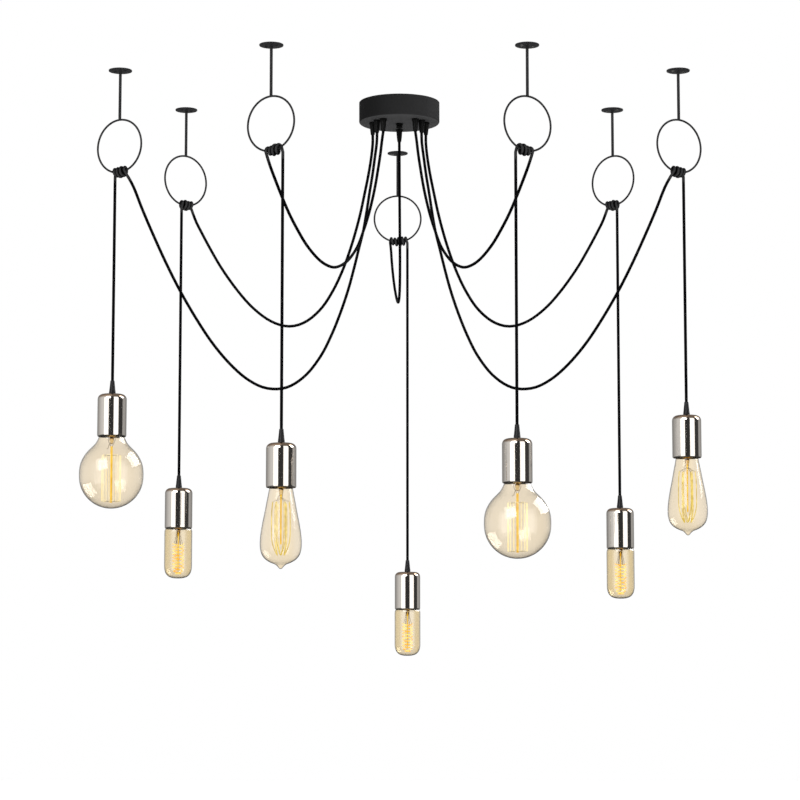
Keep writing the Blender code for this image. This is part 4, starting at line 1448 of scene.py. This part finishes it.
    def spiral(self, arm: Arm) -> None:
        """Make a tube's double spiral with the leads that spread down to it.

        Args:
            arm: the arm that it belongs to.
        """
        top, low, reach, turns = 0.024, 0.071, 0.0085, 4.4
        taper, taper_from, taper_length = 0.35, 0.8, 0.2
        count = 100
        strands = []
        for start in (0, 180):
            strand = []
            for number in range(count + 1):
                share = number / count
                across = reach * (1 - taper * max(0.0, share - taper_from) / taper_length)
                strand.append(self.at(arm, across, start + 360 * turns * share, top + (low - top) * share))
            strands.append(strand)
        joined = strands[0] + strands[1][::-1]
        self.wires(arm, "filament", [joined], 0.0008, COIL_GLOW, 2)
        spread = [[self.at(arm, 0.0012, angle, 0.004), self.at(arm, 0.0070, angle, 0.026)]
                  for angle in range(0, 360, 60)]
        self.wires(arm, "spokes", spread, 0.0003, LEAD_WIRE)
        self.rod(arm, 0.006, 0.066, 0.0009)


# The studio


@dataclass(frozen=True)
class Panel:
    """A patch of the studio that gloss shows, in degrees round and above the viewer."""

    left: float
    right: float
    low: float
    high: float
    level: float
    soft: float = 1.5

    def cover(self, azimuth: Signal, elevation: Signal) -> Signal:
        """Where the patch is, from 0 outside to 1 inside.

        Args:
            azimuth: the looked-at direction's angle round from the viewer.
            elevation: its angle up.

        Returns:
            The share.
        """
        shares = []
        for angle, start, end in ((azimuth, self.left, self.right), (elevation, self.low, self.high)):
            shares.append(angle.step(start - self.soft, start + self.soft)
                          * (1.0 - angle.step(end - self.soft, end + self.soft)))
        return shares[0] * shares[1]


def heading(azimuth: float, elevation: float) -> Vector:
    """The direction at two angles in degrees: round from the viewer to the right, and up."""
    turn, rise = math.radians(azimuth), math.radians(elevation)
    return Vector((math.sin(turn) * math.cos(rise), -math.cos(turn) * math.cos(rise), math.sin(rise)))


@dataclass(frozen=True)
class Softbox:
    """A lit sheet that gloss shows, between four directions round and above the viewer."""

    corners: tuple[Point2, Point2, Point2, Point2]
    level: float
    soft: float = 0.012

    def cover(self, east: Signal, north: Signal, up: Signal) -> Signal:
        """Where the sheet is, from 0 outside to 1 inside.

        Args:
            east: how far right the looked-at direction points.
            north: how far it points away from the viewer.
            up: how far up it points.

        Returns:
            The share.
        """
        spots = [heading(*corner) for corner in self.corners]
        middle = sum(spots, Vector())
        share = None
        for first, second in zip(spots, spots[1:] + spots[:1]):
            edge = first.cross(second).normalized()
            if edge.dot(middle) < 0:
                edge.negate()
            inside = (east * edge.x + north * edge.y + up * edge.z).step(-self.soft, self.soft)
            share = inside if share is None else share * inside
        return share


SOFTBOXES = (
    Softbox(((84, 50), (119, 46), (116, 18), (88, 14)), 8.0),
    Softbox(((-50, 38), (-12, 45), (-5, 12), (-38, 6)), 6.5),
)
PANELS = (
    Panel(-59, -20, -25, 26, 1.6),
    Panel(20, 58, -25, 34, 1.6),
    Panel(-21, 19, -35, 50, 0.035),
    Panel(59, 98, -35, 50, 0.045),
)


@dataclass
class Studio:
    """The camera, the lights, the world and the floor."""

    lens: float = 114.3
    sensor: float = 36.0
    stand: tuple[float, float, float] = (0.0011, -3.94, -0.927)
    tilt_degrees: float = 96.566
    floor_height: float = -1.30
    floor_size: float = 14.0
    middle_height: float = -0.5
    room_level: float = 0.85
    gloss_level: float = 0.28
    left_gloss: float = 0.44
    left_span: tuple[float, float, float, float] = (-150, -66, -10, 10)
    right_gloss: float = 0.14
    right_span: tuple[float, float, float, float] = (88, 96, 112, 150)
    low_gloss: float = 0.2
    low_span: Point2 = (-16, -6)

    def camera(self) -> None:
        """Put the camera at the photograph's view."""
        data = bpy.data.cameras.new("camera")
        data.lens = self.lens
        data.sensor_width = self.sensor
        made = bpy.data.objects.new("camera", data)
        bpy.context.scene.collection.objects.link(made)
        made.location = self.stand
        made.rotation_euler = (math.radians(self.tilt_degrees), 0, 0)
        bpy.context.scene.camera = made

    def light(self) -> None:
        """Light the scene softly and make its world and floor."""
        bpy.context.scene.view_settings.view_transform = "Standard"
        self.lamp("window", 102, 42, 2.6, (0.95, 1.9), 34.0)
        self.lamp("fill", -48, 30, 3.0, (2.4, 2.4), 2.0)
        self.world()
        self.floor()

    def lamp(self, name: str, azimuth: float, height: float, away: float, size: Point2,
             power: float) -> None:
        """Put an area lamp round the object.

        Args:
            name: the lamp's name.
            azimuth: its angle in degrees from the viewer, to the right.
            height: its elevation in degrees.
            away: its distance from the object's middle.
            size: its width and height.
            power: its power in watts.
        """
        data = bpy.data.lights.new(name, "AREA")
        data.shape = "RECTANGLE"
        data.size, data.size_y = size
        data.energy = power
        made = bpy.data.objects.new(name, data)
        made.visible_glossy = False
        bpy.context.scene.collection.objects.link(made)
        aim = heading(azimuth, height)
        made.location = Vector((0, 0, self.middle_height)) + aim * away
        made.rotation_euler = aim.to_track_quat("Z", "Y").to_euler()

    def world(self) -> None:
        """A white studio with soft boxes and dark stands that only gloss shows."""
        paint = Paint("studio", sky=True)
        bpy.context.scene.world = paint.owner
        east, north, up = paint.place("Generated")
        turn = paint.signal("ShaderNodeMath", 0, {"operation": "ARCTAN2"}, {0: east, 1: north * -1.0})
        rise = paint.signal("ShaderNodeMath", 0, {"operation": "ARCSINE"}, {0: up})
        azimuth, elevation = turn * math.degrees(1.0), rise * math.degrees(1.0)
        sides = ((self.left_span, self.left_gloss), (self.right_span, self.right_gloss))
        left, right = (azimuth.step(*span[:2]) * (1.0 - azimuth.step(*span[2:])) * level
                       for span, level in sides)
        low = elevation.step(*self.low_span) * (1.0 - self.low_gloss) + self.low_gloss
        gloss = (left + right + self.gloss_level) * low
        covers = [(panel.cover(azimuth, elevation), panel.level) for panel in PANELS]
        covers += [(softbox.cover(east, north, up), softbox.level) for softbox in SOFTBOXES]
        for cover, level in covers:
            gloss = gloss * (1.0 - cover) + cover * level
        camera, through, shine = (paint.signal("ShaderNodeLightPath", f"Is {ray} Ray")
                                  for ray in ("Camera", "Transmission", "Glossy"))
        seen = (camera + through).step(*RAY_SPAN)
        mirror = shine * (1.0 - seen)
        level = self.room_level * (1.0 - mirror) + mirror * gloss
        paint.dress({"Color": (1.0, 1.0, 1.0, 1.0), "Strength": level * (1.0 - seen) + seen})

    def floor(self) -> None:
        """A plain pale floor that keeps the object's shadow."""
        shape = bmesh.new()
        bmesh.ops.create_grid(shape, x_segments=1, y_segments=1, size=self.floor_size / 2,
                              matrix=Matrix.Translation((0, 0, self.floor_height)))
        mesh = bpy.data.meshes.new("floor")
        shape.to_mesh(mesh)
        shape.free()
        paint = Paint("pale_floor")
        seen = paint.signal("ShaderNodeLightPath", "Is Camera Ray")
        paint.dress({"Base Color": (0.86, 0.86, 0.86, 1.0), "Roughness": 0.9,
                     "Emission Color": paint.blend(seen, (0.7, 0.7, 0.7), (0.3, 0.3, 0.3)),
                     "Emission Strength": 1.0})
        made = bpy.data.objects.new("floor", mesh)
        bpy.context.scene.collection.objects.link(made)
        made.data.materials.append(paint.owner)
        made.visible_glossy = False
        made.visible_transmission = False


def main() -> None:
    """Build the studio and the chandelier."""
    logging.basicConfig(level=logging.INFO, format="%(name)s: %(message)s")
    studio = Studio()
    studio.camera()
    dresser = Dresser()
    Cords(dresser).build()
    for group in (Canopy(dresser), Hangers(dresser), Sockets(dresser), Lamps(dresser)):
        LOG.info("building %s", type(group).__name__)
        group.build()
    studio.light()


if __name__ == "__main__":
    main()
